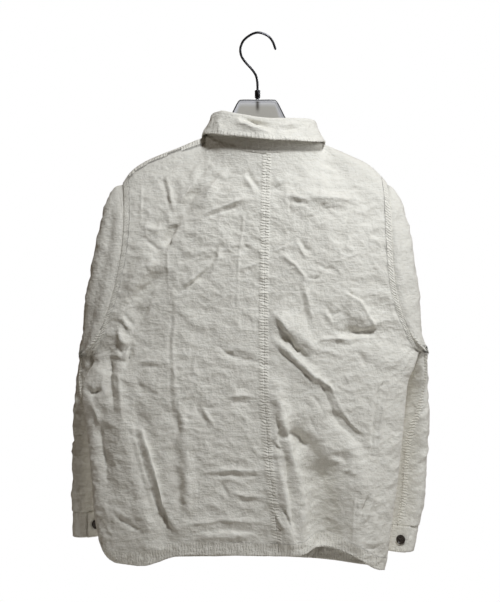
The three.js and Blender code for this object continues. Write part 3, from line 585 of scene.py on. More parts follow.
BACK_CREASES = (
    # Upper left, fanning from the neck towards the armhole.
    Crease(T, 2.2, 1.5, ((-72, -187), (-130, -217), (-196, -269))),
    Crease(T, 5, 1.8, ((-74, -212), (-88, -228), (-102, -246))),
    Crease(R, 5, 2.0, ((-84, -208), (-98, -224), (-112, -242))),
    Crease(T, 6, 2.2, ((-92, -250), (-107, -272), (-120, -296))),
    Crease(R, 5, 2.2, ((-102, -246), (-117, -268), (-130, -290))),
    Crease(T, 5, 2.6, ((-36, -230), (-56, -252), (-75, -281))),
    Crease(R, 5, 2.0, ((-46, -226), (-66, -248), (-86, -276))),
    Crease(R, 4, 2.4, ((-20, -273), (-50, -287), (-82, -300))),
    Crease(T, 4, 2.6, ((-24, -282), (-52, -295), (-84, -308))),
    Crease(T, 3.5, 2.4, ((-18, -231), (-8, -246), (3, -260))),
    Crease(R, 4, 1.8, ((-24, -236), (-14, -252), (-3, -266))),
    Crease(R, 5, 2.2, ((-152, -232), (-142, -262), (-134, -300))),
    Crease(T, 4, 1.6, ((-159, -234), (-150, -264), (-143, -296))),
    Crease(L, 7, 3.2, ((-146, -360), (-137, -336), (-124, -312))),
    Crease(R, 6, 2.4, ((-190, -322), (-164, -326), (-142, -318))),
    Crease(T, 5, 2.0, ((-188, -336), (-170, -352), (-152, -362))),
    Crease(R, 2.4, 0.9, ((-144, -340), (-145, -380), (-144, -436))),
    Crease(T, 5, 1.3, ((-158, -401), (-186, -422), (-206, -448))),
    Crease(R, 4.5, 1.8, ((-150, -409), (-176, -432), (-196, -462))),
    Crease(T, 5, 2.2, ((-172, -439), (-186, -462), (-202, -488))),
    Crease(R, 4, 2.4, ((-226, -466), (-214, -478), (-203, -490))),
    Crease(T, 3.5, 2.0, ((-217, -462), (-207, -474), (-198, -486))),
    Crease(T, 4, 2.4, ((-233, -514), (-221, -526), (-207, -511))),
    Crease(R, 7, 4.4, ((-228, -484), (-220, -504), (-213, -514))),
    # Below the left armhole.
    Crease(T, 7, 5.0, ((-244, -520), (-239, -572), (-234, -622))),
    Crease(R, 5, 2.0, ((-228, -540), (-224, -580), (-220, -626))),
    Crease(T, 6, 4.0, ((-283, -583), (-268, -592), (-255, -582))),
    Crease(R, 5, 2.6, ((-276, -600), (-262, -622), (-256, -650))),
    Crease(T, 5, 3.4, ((-204, -506), (-207, -530), (-216, -552))),
    Crease(T, 4, 2.2, ((-258, -640), (-250, -690), (-246, -740))),
    Crease(T, 3.5, 1.2, ((-197, -550), (-177, -545), (-154, -549))),
    Crease(R, 4, 2.2, ((-197, -541), (-177, -537), (-154, -541))),
    Crease(R, 4, 2.0, ((-176, -542), (-162, -532), (-148, -522))),
    Crease(T, 4, 1.8, ((-204, -560), (-192, -575), (-184, -596))),
    Crease(R, 3.5, 1.8, ((-202, -664), (-190, -654), (-178, -640))),
    Crease(T, 3.6, 4.4, ((-198, -637), (-191, -672), (-178, -716), (-160, -768), (-138, -815))),
    Crease(R, 5, 3.4, ((-190, -640), (-183, -674), (-170, -717), (-152, -766), (-131, -808))),
    Crease(L, 15, 4.2, ((-138, -815), (-160, -768), (-178, -716), (-191, -672), (-198, -637))),
    Crease(T, 3, 2.2, ((-236, -784), (-220, -798), (-205, -806), (-184, -817))),
    Crease(R, 4, 1.6, ((-231, -776), (-214, -790), (-198, -798))),
    Crease(L, 12, 3.4, ((-120, -790), (-121, -728), (-126, -660))),
    Crease(R, 3, 1.0, ((-134, -447), (-136, -520), (-134, -600), (-131, -660))),
    Crease(T, 2.2, 0.8, ((-140, -450), (-142, -540), (-140, -631))),
    Crease(L, 9, 2.4, ((-122, -662), (-124, -640), (-130, -612))),
    # Between the left fold and the centre seam.
    Crease(T, 4, 2.2, ((-126, -428), (-98, -407), (-76, -386))),
    Crease(R, 4, 2.2, ((-124, -420), (-97, -400), (-74, -380))),
    Crease(L, 5, 2.2, ((-76, -388), (-68, -372), (-63, -354))),
    Crease(T, 3, 1.5, ((-66, -509), (-54, -522), (-38, -531), (-14, -536), (6, -538))),
    Crease(R, 5, 1.4, ((-58, -502), (-44, -514), (-26, -521), (-2, -524))),
    Crease(T, 5, 0.8, ((-46, -583), (-28, -581), (-6, -584))),
    Crease(R, 4, 2.2, ((-50, -594), (-28, -592), (-4, -594))),
    Crease(T, 5, 0.8, ((-46, -604), (-27, -602), (-8, -605))),
    Crease(T, 4, 1.8, ((-102, -606), (-88, -630), (-76, -652))),
    Crease(R, 4, 1.6, ((-94, -602), (-80, -626), (-68, -646))),
    Crease(R, 4, 2.0, ((-92, -716), (-40, -712), (14, -712))),
    Crease(T, 4, 1.1, ((-88, -724), (-38, -720), (14, -720))),
    Crease(R, 3.4, 2.4, ((-42, -746), (-16, -752), (14, -756))),
    Crease(T, 3.4, 1.2, ((-42, -754), (-16, -760), (12, -764))),
    Crease(T, 3.5, 1.8, ((-59, -734), (-50, -746), (-42, -758))),
    Crease(R, 6, 2.2, ((-128, -804), (-98, -796), (-62, -792), (-20, -793), (24, -797))),
    Crease(T, 6, 2.2, ((-112, -817), (-84, -809), (-52, -807), (-16, -808), (16, -812))),
    Crease(T, 5, 1.6, ((-138, -752), (-150, -778), (-152, -800))),
    Crease(R, 5, 1.4, ((-124, -742), (-112, -770), (-100, -786))),
    Crease(R, 2.2, 0.9, ((-22, -285), (-27, -340), (-32, -400), (-36, -472))),
    Crease(R, 2.0, 0.7, ((-84, -455), (-40, -456), (4, -455))),
    Crease(R, 2.0, 0.7, ((-188, -244), (-190, -282), (-190, -320))),
    Crease(T, 4, 1.8, ((-26, -346), (-18, -353), (-10, -362))),
    # Right of the centre seam.
    Crease(R, 4.5, 3.2, ((22, -457), (36, -472), (52, -490), (70, -514), (90, -536))),
    Crease(T, 4, 2.4, ((22, -470), (36, -486), (52, -506), (68, -528))),
    Crease(R, 3.6, 2.6, ((18, -495), (42, -518), (74, -546), (104, -572), (132, -592))),
    Crease(T, 4, 2.4, ((20, -507), (40, -528), (68, -552), (96, -577))),
    Crease(T, 3, 1.8, ((96, -566), (112, -596), (134, -640), (168, -672))),
    Crease(R, 3.6, 1.8, ((104, -560), (122, -592), (146, -632), (176, -664))),
    Crease(L, 8, 4.0, ((72, -832), (64, -776), (52, -704), (40, -650), (28, -598))),
    Crease(T, 8, 4.2, ((42, -644), (62, -660), (90, -680))),
    Crease(T, 5, 2.6, ((22, -666), (34, -678), (46, -688))),
    Crease(R, 5, 2.2, ((22, -652), (40, -664), (60, -678))),
    Crease(T, 3, 2.6, ((34, -766), (44, -784), (55, -806))),
    Crease(R, 4, 2.4, ((24, -770), (34, -790), (44, -808))),
    Crease(T, 4.5, 2.4, ((44, -243), (34, -254), (22, -264))),
    Crease(R, 4.5, 2.2, ((50, -236), (38, -246), (26, -254))),
    Crease(T, 8, 1.2, ((82, -253), (120, -260), (164, -262))),
    Crease(R, 4, 2.2, ((86, -273), (124, -276), (160, -276))),
    Crease(R, 3.5, 2.0, ((42, -272), (62, -275), (84, -275))),
    Crease(T, 3, 1.5, ((46, -280), (64, -283), (84, -283))),
    Crease(T, 3, 1.4, ((51, -274), (52, -304))),
    Crease(T, 6, 1.8, ((98, -288), (112, -292), (128, -293))),
    Crease(T, 7, 1.5, ((158, -262), (146, -296), (142, -320), (132, -350), (112, -380))),
    Crease(R, 5, 1.0, ((170, -268), (158, -298), (152, -326), (142, -354), (124, -384))),
    Crease(T, 7, 2.4, ((92, -380), (108, -388), (126, -390))),
    Crease(T, 3.5, 2.2, ((66, -340), (76, -356), (90, -362))),
    Crease(R, 3.5, 1.8, ((64, -348), (74, -366), (88, -371))),
    Crease(R, 3.2, 2.2, ((36, -366), (58, -382), (80, -406))),
    Crease(T, 3.2, 2.0, ((74, -404), (98, -404), (118, -384))),
    Crease(T, 3, 1.8, ((82, -426), (92, -410), (100, -396))),
    Crease(T, 4, 1.8, ((66, -410), (74, -446), (82, -486))),
    Crease(R, 4, 1.6, ((72, -408), (82, -444), (90, -482))),
    Crease(T, 3, 2.6, ((110, -448), (121, -463), (139, -456))),
    Crease(R, 4, 2.2, ((108, -458), (121, -474), (142, -466))),
    Crease(T, 3, 2.2, ((145, -424), (158, -433), (174, -440))),
    Crease(R, 4, 2.8, ((140, -428), (162, -440), (176, -460), (192, -488))),
    Crease(T, 4.5, 3.6, ((118, -484), (140, -492), (166, -493), (194, -489))),
    Crease(R, 4, 2.6, ((84, -512), (104, -502), (126, -501), (160, -503), (190, -499))),
    Crease(T, 3.5, 1.8, ((138, -512), (150, -512), (164, -507))),
    Crease(T, 6, 2.4, ((160, -522), (168, -534), (175, -550))),
    Crease(T, 3, 2.2, ((190, -502), (197, -509), (204, -506))),
    Crease(R, 3, 1.8, ((138, -556), (144, -566), (149, -577))),
    Crease(T, 3, 1.6, ((84, -590), (96, -604), (106, -622))),
    Crease(T, 4, 1.8, ((82, -628), (92, -650), (100, -662))),
    Crease(T, 9, 2.6, ((118, -690), (136, -694), (150, -706))),
    Crease(R, 3, 1.8, ((132, -716), (146, -712), (156, -700))),
    Crease(T, 2.6, 2.6, ((184, -684), (187, -640), (196, -590), (210, -560))),
    Crease(R, 4, 2.0, ((194, -690), (198, -644), (206, -600), (216, -566))),
    Crease(T, 3.2, 2.4, ((182, -750), (174, -772), (161, -797))),
    Crease(R, 4, 1.8, ((190, -746), (184, -772), (172, -798))),
    Crease(R, 2.4, 1.2, ((156, -750), (154, -790), (153, -838))),
    Crease(T, 4, 1.6, ((98, -214), (112, -216), (126, -219))),
    Crease(R, 4, 1.6, ((88, -222), (110, -226), (130, -230))),
    Crease(T, 3, 1.8, ((174, -838), (188, -842), (200, -842))),
    Crease(R, 3.4, 1.8, ((172, -830), (186, -834), (202, -833))),
)

FRONT_CREASES = (
    Crease(T, 5, 2.4, ((-180, -300), (-150, -330), (-128, -352))),
    Crease(R, 5, 2.2, ((-184, -314), (-160, -342), (-140, -364))),
    Crease(T, 5, 2.6, ((176, -300), (142, -332), (104, -352))),
    Crease(R, 5, 2.2, ((178, -316), (150, -344), (112, -366))),
    Crease(T, 4, 2.4, ((-224, -520), (-190, -540), (-150, -552), (-110, -556))),
    Crease(R, 4, 2.2, ((-222, -534), (-188, -554), (-148, -566))),
    Crease(T, 4, 2.4, ((222, -520), (184, -538), (140, -548), (96, -546))),
    Crease(R, 5, 2.2, ((218, -536), (180, -552), (136, -562))),
    Crease(T, 4, 2.0, ((-200, -600), (-150, -612), (-96, -606), (-40, -612))),
    Crease(R, 4, 1.8, ((-196, -588), (-148, -600), (-94, -594))),
    Crease(T, 4, 2.0, ((200, -610), (150, -622), (92, -618), (40, -626))),
    Crease(R, 4, 1.8, ((196, -596), (148, -608), (90, -604))),
    Crease(T, 3.5, 1.8, ((-62, -300), (-44, -350), (-40, -400))),
    Crease(R, 4, 1.6, ((-54, -298), (-35, -350), (-30, -398))),
    Crease(T, 3.5, 1.8, ((70, -290), (50, -344), (42, -410))),
    Crease(R, 4, 1.6, ((62, -286), (42, -342), (34, -404))),
    Crease(T, 4, 1.8, ((-34, -470), (-60, -520), (-100, -548))),
    Crease(T, 4, 1.8, ((34, -474), (60, -520), (96, -544))),
    Crease(R, 3, 1.0, ((126, -420), (128, -520), (126, -640))),
    Crease(R, 3, 1.0, ((-202, -420), (-204, -500), (-200, -640))),
)

COLLAR_CREASES = (
    Crease(T, 9, 4.6, ((-36, -146), (-26, -158), (-8, -167), (24, -174))),
    Crease(R, 8, 4.0, ((-34, -136), (-14, -148), (4, -156), (26, -162))),
    Crease(T, 5, 1.4, ((28, -160), (50, -158), (66, -152))),
    Crease(R, 4, 1.2, ((36, -168), (56, -164), (72, -158))),
    Crease(T, 4, 1.2, ((84, -150), (78, -164), (80, -174))),
    Crease(T, 4, 1.2, ((-66, -148), (-60, -160), (-62, -172))),
)


def total_height(shapes: Sequence[Any], first: Array, second: Array) -> Array:
    """The sum of what several folds or creases push out."""
    return sum((shape.height(first, second) for shape in shapes), np.zeros(np.shape(first)))


class Crumple:
    """Smooth noise in space for the small hollows of washed cloth, the same at each run.

    Args:
        seed: Chooses the pattern.
    """

    MASK = 4095

    def __init__(self, seed: int) -> None:
        chance = np.random.default_rng(seed)
        self.slopes = unit(chance.normal(size=(self.MASK + 1, 3)))
        # Its cells are turned, so that no ridge runs straight across or straight down.
        self.turned = np.linalg.qr(chance.normal(size=(3, 3)))[0]

    def read(self, points: Array, cell: tuple[float, float, float]) -> Array:
        """The noise at points.

        Args:
            points: Places in millimetres.
            cell: The size of its cells along X, Y and Z, in millimetres.

        Returns:
            Values from -1 to 1.
        """
        scaled = points / np.array(cell) @ self.turned
        base = np.floor(scaled).astype(np.int64)
        within = scaled - base
        t = within**3 * (within * (within * 6 - 15) + 10)
        out = np.zeros(points.shape[:-1])
        for corner in np.ndindex(2, 2, 2):
            i = base + corner
            key = (i[..., 0] * 73856093) ^ (i[..., 1] * 19349663) ^ (i[..., 2] * 83492791)
            share = np.prod(np.where(corner, t, 1 - t), axis=-1)
            out += share * np.sum(self.slopes[key & self.MASK] * (within - corner), axis=-1)
        return 1.7 * out

    def bend(self, points: Array) -> Array:
        """The same points moved a little about, so that what is drawn along straight lines wanders."""
        moves = [self.read(points + 211 * i, (31, 31, 31)) * 2.2 for i in (1, 2, 3)]
        finer = [self.read(points + 137 * i, (11, 11, 11)) * 0.8 for i in (1, 2, 3)]
        return points + np.stack(moves, -1) + np.stack(finer, -1)

    def cloth(self, points: Array) -> Array:
        """The crumple of washed cotton, in millimetres outwards: soft hollows and small sharp ridges."""
        soft = self.read(points, (60, 60, 48)) * 1.3 + self.read(points + 31, (22, 22, 15)) * 0.4
        bent = self.bend(points)
        facets = 3.6 * np.abs(self.read(bent + 57, (46, 46, 34)))
        facets += 2.1 * np.abs(self.read(bent + 83, (22, 22, 15)))
        sharp = 1 - np.abs(self.read(bent + 131, (30, 30, 22)))
        where = ramp(self.read(points + 11, (60, 60, 60)), -0.4, 0.5)
        small = 0.34 * self.read(points + 7, (10, 10, 5)) + 0.6 * np.abs(self.read(bent + 23, (11, 11, 7)))
        return soft - facets + (0.15 + where) * 1.3 * sharp**9 + small


CRUMPLE = Crumple(20)


# Meshes


@dataclass
class WallGrid:
    """A sheet of cloth as a grid of points, made into a closed thin wall.

    `rise` is what the outside has more than half of `thick`, such as a hem's second layer. `rows` run along
    the first axis. `flip` turns the outside to the grid's other side.
    """

    points: Array
    thick: float = CLOTH
    rise: Array | float = 0.0
    push: Array | float = 0.0
    flip: bool = False
    attributes: dict[str, Array] = field(default_factory=dict)

    def normals(self) -> Array:
        """The grid's unit normals, towards the outside."""
        across = np.gradient(self.points, axis=1)
        up = np.gradient(self.points, axis=0)
        return unit(np.cross(across, up)) * (-1 if self.flip else 1)

    def area(self) -> float:
        """The area of one layer, in square metres."""
        a, b = np.diff(self.points, axis=1)[:-1], np.diff(self.points, axis=0)[:, :-1]
        return float(np.linalg.norm(np.cross(a, b), axis=-1).sum()) * MM * MM

    def build(self, name: str) -> bpy.types.Object:
        """Makes the mesh: two layers, with a rounded edge between them.

        Args:
            name: The new object's name.

        Returns:
            The object, in metres.
        """
        rows, columns = self.points.shape[:2]
        normals = self.normals()
        push = np.broadcast_to(self.push, (rows, columns))[..., None]
        rise = np.broadcast_to(self.rise, (rows, columns))[..., None]
        middle = self.points + normals * push
        outer = middle + normals * (self.thick / 2 + rise)
        inner = middle - normals * (self.thick / 2)
        index = np.arange(rows * columns).reshape(rows, columns)
        loop = np.concatenate([index[0, :-1], index[:-1, -1], index[-1, :0:-1], index[:0:-1, 0]])
        flat_outer, flat_inner = outer.reshape(-1, 3), inner.reshape(-1, 3)
        inward = np.concatenate([index[1, :-1], index[:-1, -2], index[-2, :0:-1], index[:0:-1, 1]])
        edge = (flat_outer[loop] + flat_inner[loop]) / 2
        away = unit(flat_outer[loop] - flat_outer[inward])
        edge = edge + away * self.thick * 0.3
        count = rows * columns
        points = np.concatenate([flat_outer, flat_inner, edge])
        cells = np.stack([index[:-1, :-1], index[:-1, 1:], index[1:, 1:], index[1:, :-1]], -1).reshape(-1, 4)
        following = np.roll(loop, -1)
        ring = np.arange(len(loop)) + 2 * count
        next_ring = np.roll(ring, -1)
        faces = [
            cells,
            cells[:, ::-1] + count,
            np.stack([following, loop, ring, next_ring], -1),
            np.stack([next_ring, ring, loop + count, following + count], -1),
        ]
        quads = np.concatenate(faces)
        if self.flip:
            quads = quads[:, ::-1]
        values = {}
        for key, value in self.attributes.items():
            flat = np.broadcast_to(value, (rows, columns)).reshape(-1)
            values[key] = np.concatenate([flat, flat, flat[loop]])
        return mesh_object(name, points, quads, values)


def mesh_object(name: str, points: Array, faces: Any, values: dict[str, Array] | None = None) -> bpy.types.Object:
    """Makes a smooth-shaded mesh object from points in millimetres.

    Args:
        name: The object's name.
        points: One row for each vertex.
        faces: Vertex numbers of each face.
        values: A number for each vertex, by attribute name.

    Returns:
        The object, linked to the scene.
    """
    mesh = bpy.data.meshes.new(name)
    mesh.from_pydata((np.asarray(points) * MM).tolist(), [], np.asarray(faces).tolist() if not isinstance(faces, list) else faces)
    for key, value in (values or {}).items():
        mesh.attributes.new(key, "FLOAT", "POINT").data.foreach_set("value", value.astype(np.float32))
    mesh.shade_smooth()
    mesh.update()
    made = bpy.data.objects.new(name, mesh)
    bpy.context.scene.collection.objects.link(made)
    return made


def swept(name: str, rings: Array, values: dict[str, Array] | None = None) -> bpy.types.Object:
    """Makes a closed body through rings of equal length.

    Args:
        name: The object's name.
        rings: Points by ring and by place round it, in millimetres.
        values: A number for each vertex, by attribute name.

    Returns:
        The object.
    """
    count, around = rings.shape[:2]
    index = np.arange(count * around).reshape(count, around)
    turned = np.roll(index, -1, axis=1)
    quads = np.stack([index[:-1], turned[:-1], turned[1:], index[1:]], -1).reshape(-1, 4)
    faces = quads.tolist() + [index[0, ::-1].tolist(), index[-1].tolist()]
    return mesh_object(name, rings.reshape(-1, 3), faces, values)


def settle(piece: bpy.types.Object, finish: bpy.types.Material, slot: str, *nodes: str) -> None:
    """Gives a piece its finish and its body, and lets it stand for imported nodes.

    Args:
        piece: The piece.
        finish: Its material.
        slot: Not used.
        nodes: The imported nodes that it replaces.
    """
    piece.data.materials.append(finish)
    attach(piece, BODY)
    if nodes:
        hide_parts(*nodes)
    LOG.info("%s: %d faces", piece.name, len(piece.data.polygons))


@dataclass(frozen=True)
class Cut:
    """The flat cut of a sheet of cloth, in millimetres, as a maker would lay it out.

    `area` is what its outline fills, in square metres, where it isn't a rectangle.
    """

    width: float
    length: float
    area: float | None = None
    hangs_on: tuple[str, ...] = ("hanger_body",)

    def declare(self, piece: bpy.types.Object, wall: WallGrid) -> None:
        """Logs the area that the piece shows beside the area of its cut.

        Args:
            piece: The piece.
            wall: The grid that it was made from.
        """
        flat = (self.width * MM, self.length * MM)
        filled = self.area or flat[0] * flat[1]
        LOG.info("%s: %.4f m2 shown, %.4f m2 cut", piece.name, wall.area(), filled)


def seam_wobble(along: Array, seed: int, period: float) -> Array:
    """Uneven waves along a seam, from -1 to 1."""
    line = np.stack([along / period, np.full_like(along, seed * 7.3), np.zeros_like(along)], -1)
    return CRUMPLE.read(line, (1, 1, 1))


@dataclass
class Panel:
    """One of the four body panels, from the hem to the shoulder and from its centre edge to its side."""

    side: SideForm
    face: Face
    cut: Cut
    pitch: float

    @property
    def is_back(self) -> bool:
        """Whether this is half of the back."""
        return self.face is Face.BACK

    @property
    def node(self) -> str:
        """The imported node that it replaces."""
        return f"{self.face.word}_{self.side.side.word}"

    def top_z(self, x: Array | float) -> Array:
        """The height of its top edge: the neckline, and the shoulder outside it."""
        sign = self.side.sign
        neck_point = NECK.x + sign * NECK.half_width
        inside = sign * np.asarray(x) < sign * neck_point
        return np.where(inside, NECKLINE[self.face].read(x, "z"), self.side.ridge.read(x, "z"))

    def centre_x(self, z: float) -> float:
        """Where its centre edge runs at a height."""
        return float(CENTRE.read(z, "back_x")) if self.is_back else -self.side.sign * FRONT_LAP

    def edge(self, v: float) -> Array:
        """Its side edge: the side seam below the underarm, and the armhole above it."""
        if v >= UNDERARM:
            share = 0.5 * (v - UNDERARM) / (1 - UNDERARM)
            return self.side.armhole(np.array(share if self.is_back else 1 - share))
        z = mix(self.side.seam_low, self.side.seam_high, v / UNDERARM)
        return np.array([self.side.seam.read(z, "x"), self.side.seam.read(z, "y"), z], float)

    def row(self, v: float, u: Array) -> tuple[Array, float]:
        """One level line of the panel.

        Args:
            v: The share of the way from the hem to the top.
            u: Shares of the way from the centre edge to the side.

        Returns:
            The line's points, and its whole length.
        """
        sign, out, hem = self.side.sign, self.face.value, HEM[self.face]
        edge, hem_edge, top_edge = self.edge(v), self.edge(0), self.edge(1)
        low_x, high_x = self.centre_x(CENTRE_LOW), self.centre_x(CENTRE_HIGH)
        centre_z = float(mix(hem.read(low_x, "z"), self.top_z(high_x), v))
        middle = self.centre_x(centre_z)
        layer = 0 if self.is_back else -sign * FRONT_LAYER
        centre_y = float(CENTRE.read(centre_z, "back_y" if self.is_back else "front_y")) + layer
        turn = float(mix(math.pi / 2, 0.9, ramp(v, UNDERARM - 0.06, UNDERARM + 0.14)))

        def arc(angle: Array) -> tuple[Array, Array]:
            """The arc from the centre edge to the side, by its angle."""
            share = (np.cos(angle) - math.cos(turn)) / (1 - math.cos(turn))
            return middle + (edge[0] - middle) * np.sin(angle) / math.sin(turn), edge[1] + (centre_y - edge[1]) * share

        angles = np.linspace(0, turn, 121)
        steps = np.hypot(*(np.diff(values) for values in arc(angles)))
        lengths = np.concatenate([[0], np.cumsum(steps)])
        total = float(lengths[-1])
        x, arc_y = arc(np.interp(u * total, lengths, angles))
        top_x = mix(high_x, top_edge[0], u)
        level = mix(hem.read(mix(low_x, hem_edge[0], u), "z"), self.top_z(top_x), v)
        z = level + u * (edge[2] - mix(hem.read(hem_edge[0], "z"), self.top_z(top_edge[0]), v))
        # Near its top the cloth rolls over the hanger's arm, or ends at the neckline.
        drop = np.maximum(self.top_z(top_x) - z, 0)
        across = (top_x - NECK.x) / NECK.half_width
        ridge = ramp(np.abs(across), 1, 1.6)
        neck_y = NECK.y + out * NECK.half_depth * np.sqrt(np.maximum(1 - across**2, 0)) + layer
        neck_point = sign * (NECK.x + sign * NECK.half_width)
        out_y = mix(NECK.y, top_edge[1], ramp(sign * top_x, neck_point, sign * top_edge[0]))
        top_y = np.where(np.abs(across) < 1, neck_y, out_y + out * SHOULDER_GAP)
        roll = np.sqrt(drop / (drop + RIDGE_ROLL)) * mix(0.62, 1, ramp(drop, 0, 170))
        sideways = u ** mix(60, 6, ramp(drop, 0, 8))
        hold = mix(mix(ramp(drop, 0, 90), roll, ridge), 1, sideways)
        return np.stack([x, mix(top_y, arc_y, hold), z], -1), total

    def shares(self) -> tuple[Array, Array]:
        """The shares v and u at which its rows and columns lie, about a pitch apart."""
        around = np.linspace(0, 0.5, 400)
        edge = self.side.armhole(around)
        lengths = np.concatenate([[0], np.cumsum(np.linalg.norm(np.diff(edge, axis=0), axis=1))])
        high = np.interp(np.linspace(0, lengths[-1], int(lengths[-1] / self.pitch)), lengths, around)
        low = np.linspace(0, UNDERARM, int(345 / self.pitch), endpoint=False)
        return np.concatenate([low, UNDERARM + 2 * (1 - UNDERARM) * high]), np.linspace(0, 1, int(312 / self.pitch))

    def form(self, vs: Array, us: Array) -> tuple[Array, Array]:
        """The panel's points with its large folds, and each row's length."""
        rows = [self.row(float(v), us) for v in vs]
        points = np.stack([row[0] for row in rows])
        u, v = np.meshgrid(us, vs)
        # The section is eased past the neck point, where the neckline and the shoulder meet.
        drop = np.linalg.norm(points - points[-1], axis=-1)
        eased = points[..., 1].copy()
        for _ in range(90):
            eased[:, 1:-1] = (eased[:, :-2] + eased[:, 1:-1] * 2 + eased[:, 2:]) / 4
        share = ramp(drop, 3, 26) * (1 - ramp(drop, 190, 260)) * ramp(u, 0.02, 0.12) * (1 - ramp(u, 0.72, 0.88))
        points[..., 1] = mix(points[..., 1], eased, share)
        edges = (1 - ramp(u, 0.88, 1)) * (1 - ramp(v, 0.88, 0.97))
        centre = 1 if self.is_back else ramp(u, 0.06, 0.2)
        folds = total_height(FOLDS[self.face], points[..., 0], points[..., 2])
        points[..., 1] += self.face.value * folds * edges * centre
        return points, np.array([row[1] for row in rows])

    def wall(self) -> WallGrid:
        """The panel with its creases, seams and hem."""
        vs, us = self.shares()
        points, totals = self.form(vs, us)
        u, v = np.meshgrid(us, vs)
        x, z = points[..., 0], points[..., 2]
        from_side = (1 - u) * totals[:, None]
        from_centre = u * totals[:, None]
        from_hem = z - z[0]
        drop = np.linalg.norm(points - points[-1], axis=-1)
        above = ramp(v, UNDERARM - 0.01, UNDERARM + 0.01)
        side_line = points[:, -1]
        along_side = np.concatenate([[0], np.cumsum(np.linalg.norm(np.diff(side_line, axis=0), axis=1))])
        along_side = np.broadcast_to(along_side[:, None], x.shape)
        open_edge = 1 if self.is_back else ramp(from_centre, 6, 30)
        free = ramp(from_side, 0, 9) * ramp(drop, 0.5, 9) * open_edge
        bent = CRUMPLE.bend(points)
        rows = BACK_CREASES if self.is_back else FRONT_CREASES
        creases = total_height(rows, bent[..., 0], bent[..., 2]) * free * CREASE_DEPTH
        creases = creases * (1 + 0.5 * CRUMPLE.read(points + 501, (24, 24, 24)))
        calm = mix(1, 0.3, (1 - ramp(drop, 12, 60)))
        crumple = CRUMPLE.cloth(points) * free * calm
        # The armhole's fell draws the cloth into small puckers, and the hem into soft gathers.
        fell = (1 - ramp(from_side, 9, 11.5)) * above
        puckers = seam_wobble(along_side, self.side.sign + 3 * self.face.value, 5.5)
        puckers = puckers * 0.55 * np.exp(-((from_side / 13) ** 2)) * above * ramp(from_side, 0, 2) * ramp(drop, 1, 6)
        gather = seam_wobble(x, 5, 11) * 1.2 * np.exp(-((np.abs(from_hem - 14) / 26) ** 2)) * free
        hem = 1 - ramp(from_hem, HEM_DEPTH - 5, HEM_DEPTH - 2.4)
        is_left_back = self.is_back and self.side.side is Side.LEFT
        centre = (1 - ramp(from_centre, FELL_WIDTH / 2, FELL_WIDTH / 2 + 2)) * self.is_back
        # The left shoulder's seam lies on the back, with its own fell and the fold beneath it.
        neck_point = NECK.x + self.side.sign * NECK.half_width
        shoulder = ramp(self.side.sign * (x - neck_point), 0, 8) * is_left_back
        yoke = (1 - ramp(drop, FELL_WIDTH, FELL_WIDTH + 2)) * shoulder
        beneath = -1.5 * np.exp(-(((drop - FELL_WIDTH - 3) / 1.6) ** 2)) * shoulder * ramp(from_side, 1, 6)
        rise = FELL_RISE * np.maximum(np.maximum(hem, centre), np.maximum(fell * 0.8, yoke))
        seam = np.maximum(np.maximum(fell, yoke), np.maximum(hem * 0.6, centre))
        across = np.where(np.maximum(hem, yoke) > 0.3, x, z + 0.12 * x)
        along = np.where(fell > 0.3, along_side, across)
        return WallGrid(
            points,
            rise=rise,
            push=creases + crumple + puckers + gather + beneath,
            flip=self.is_back == (self.side.side is Side.LEFT),
            attributes={"seam": seam, "along": along},
        )

    def build(self, finish: bpy.types.Material) -> bpy.types.Object:
        """Makes the panel and dresses it."""
        wall = self.wall()
        piece = wall.build(f"cloth_{self.node}")
        settle(piece, finish, "cotton", self.node)
        self.cut.declare(piece, wall)
        return piece


class SleevePart(Enum):
    """The two pieces of a sleeve, by the places round it at which they start and end."""

    UPPER = (REAR_SEAM, FRONT_SEAM)
    UNDER = (FRONT_SEAM - 1, REAR_SEAM)


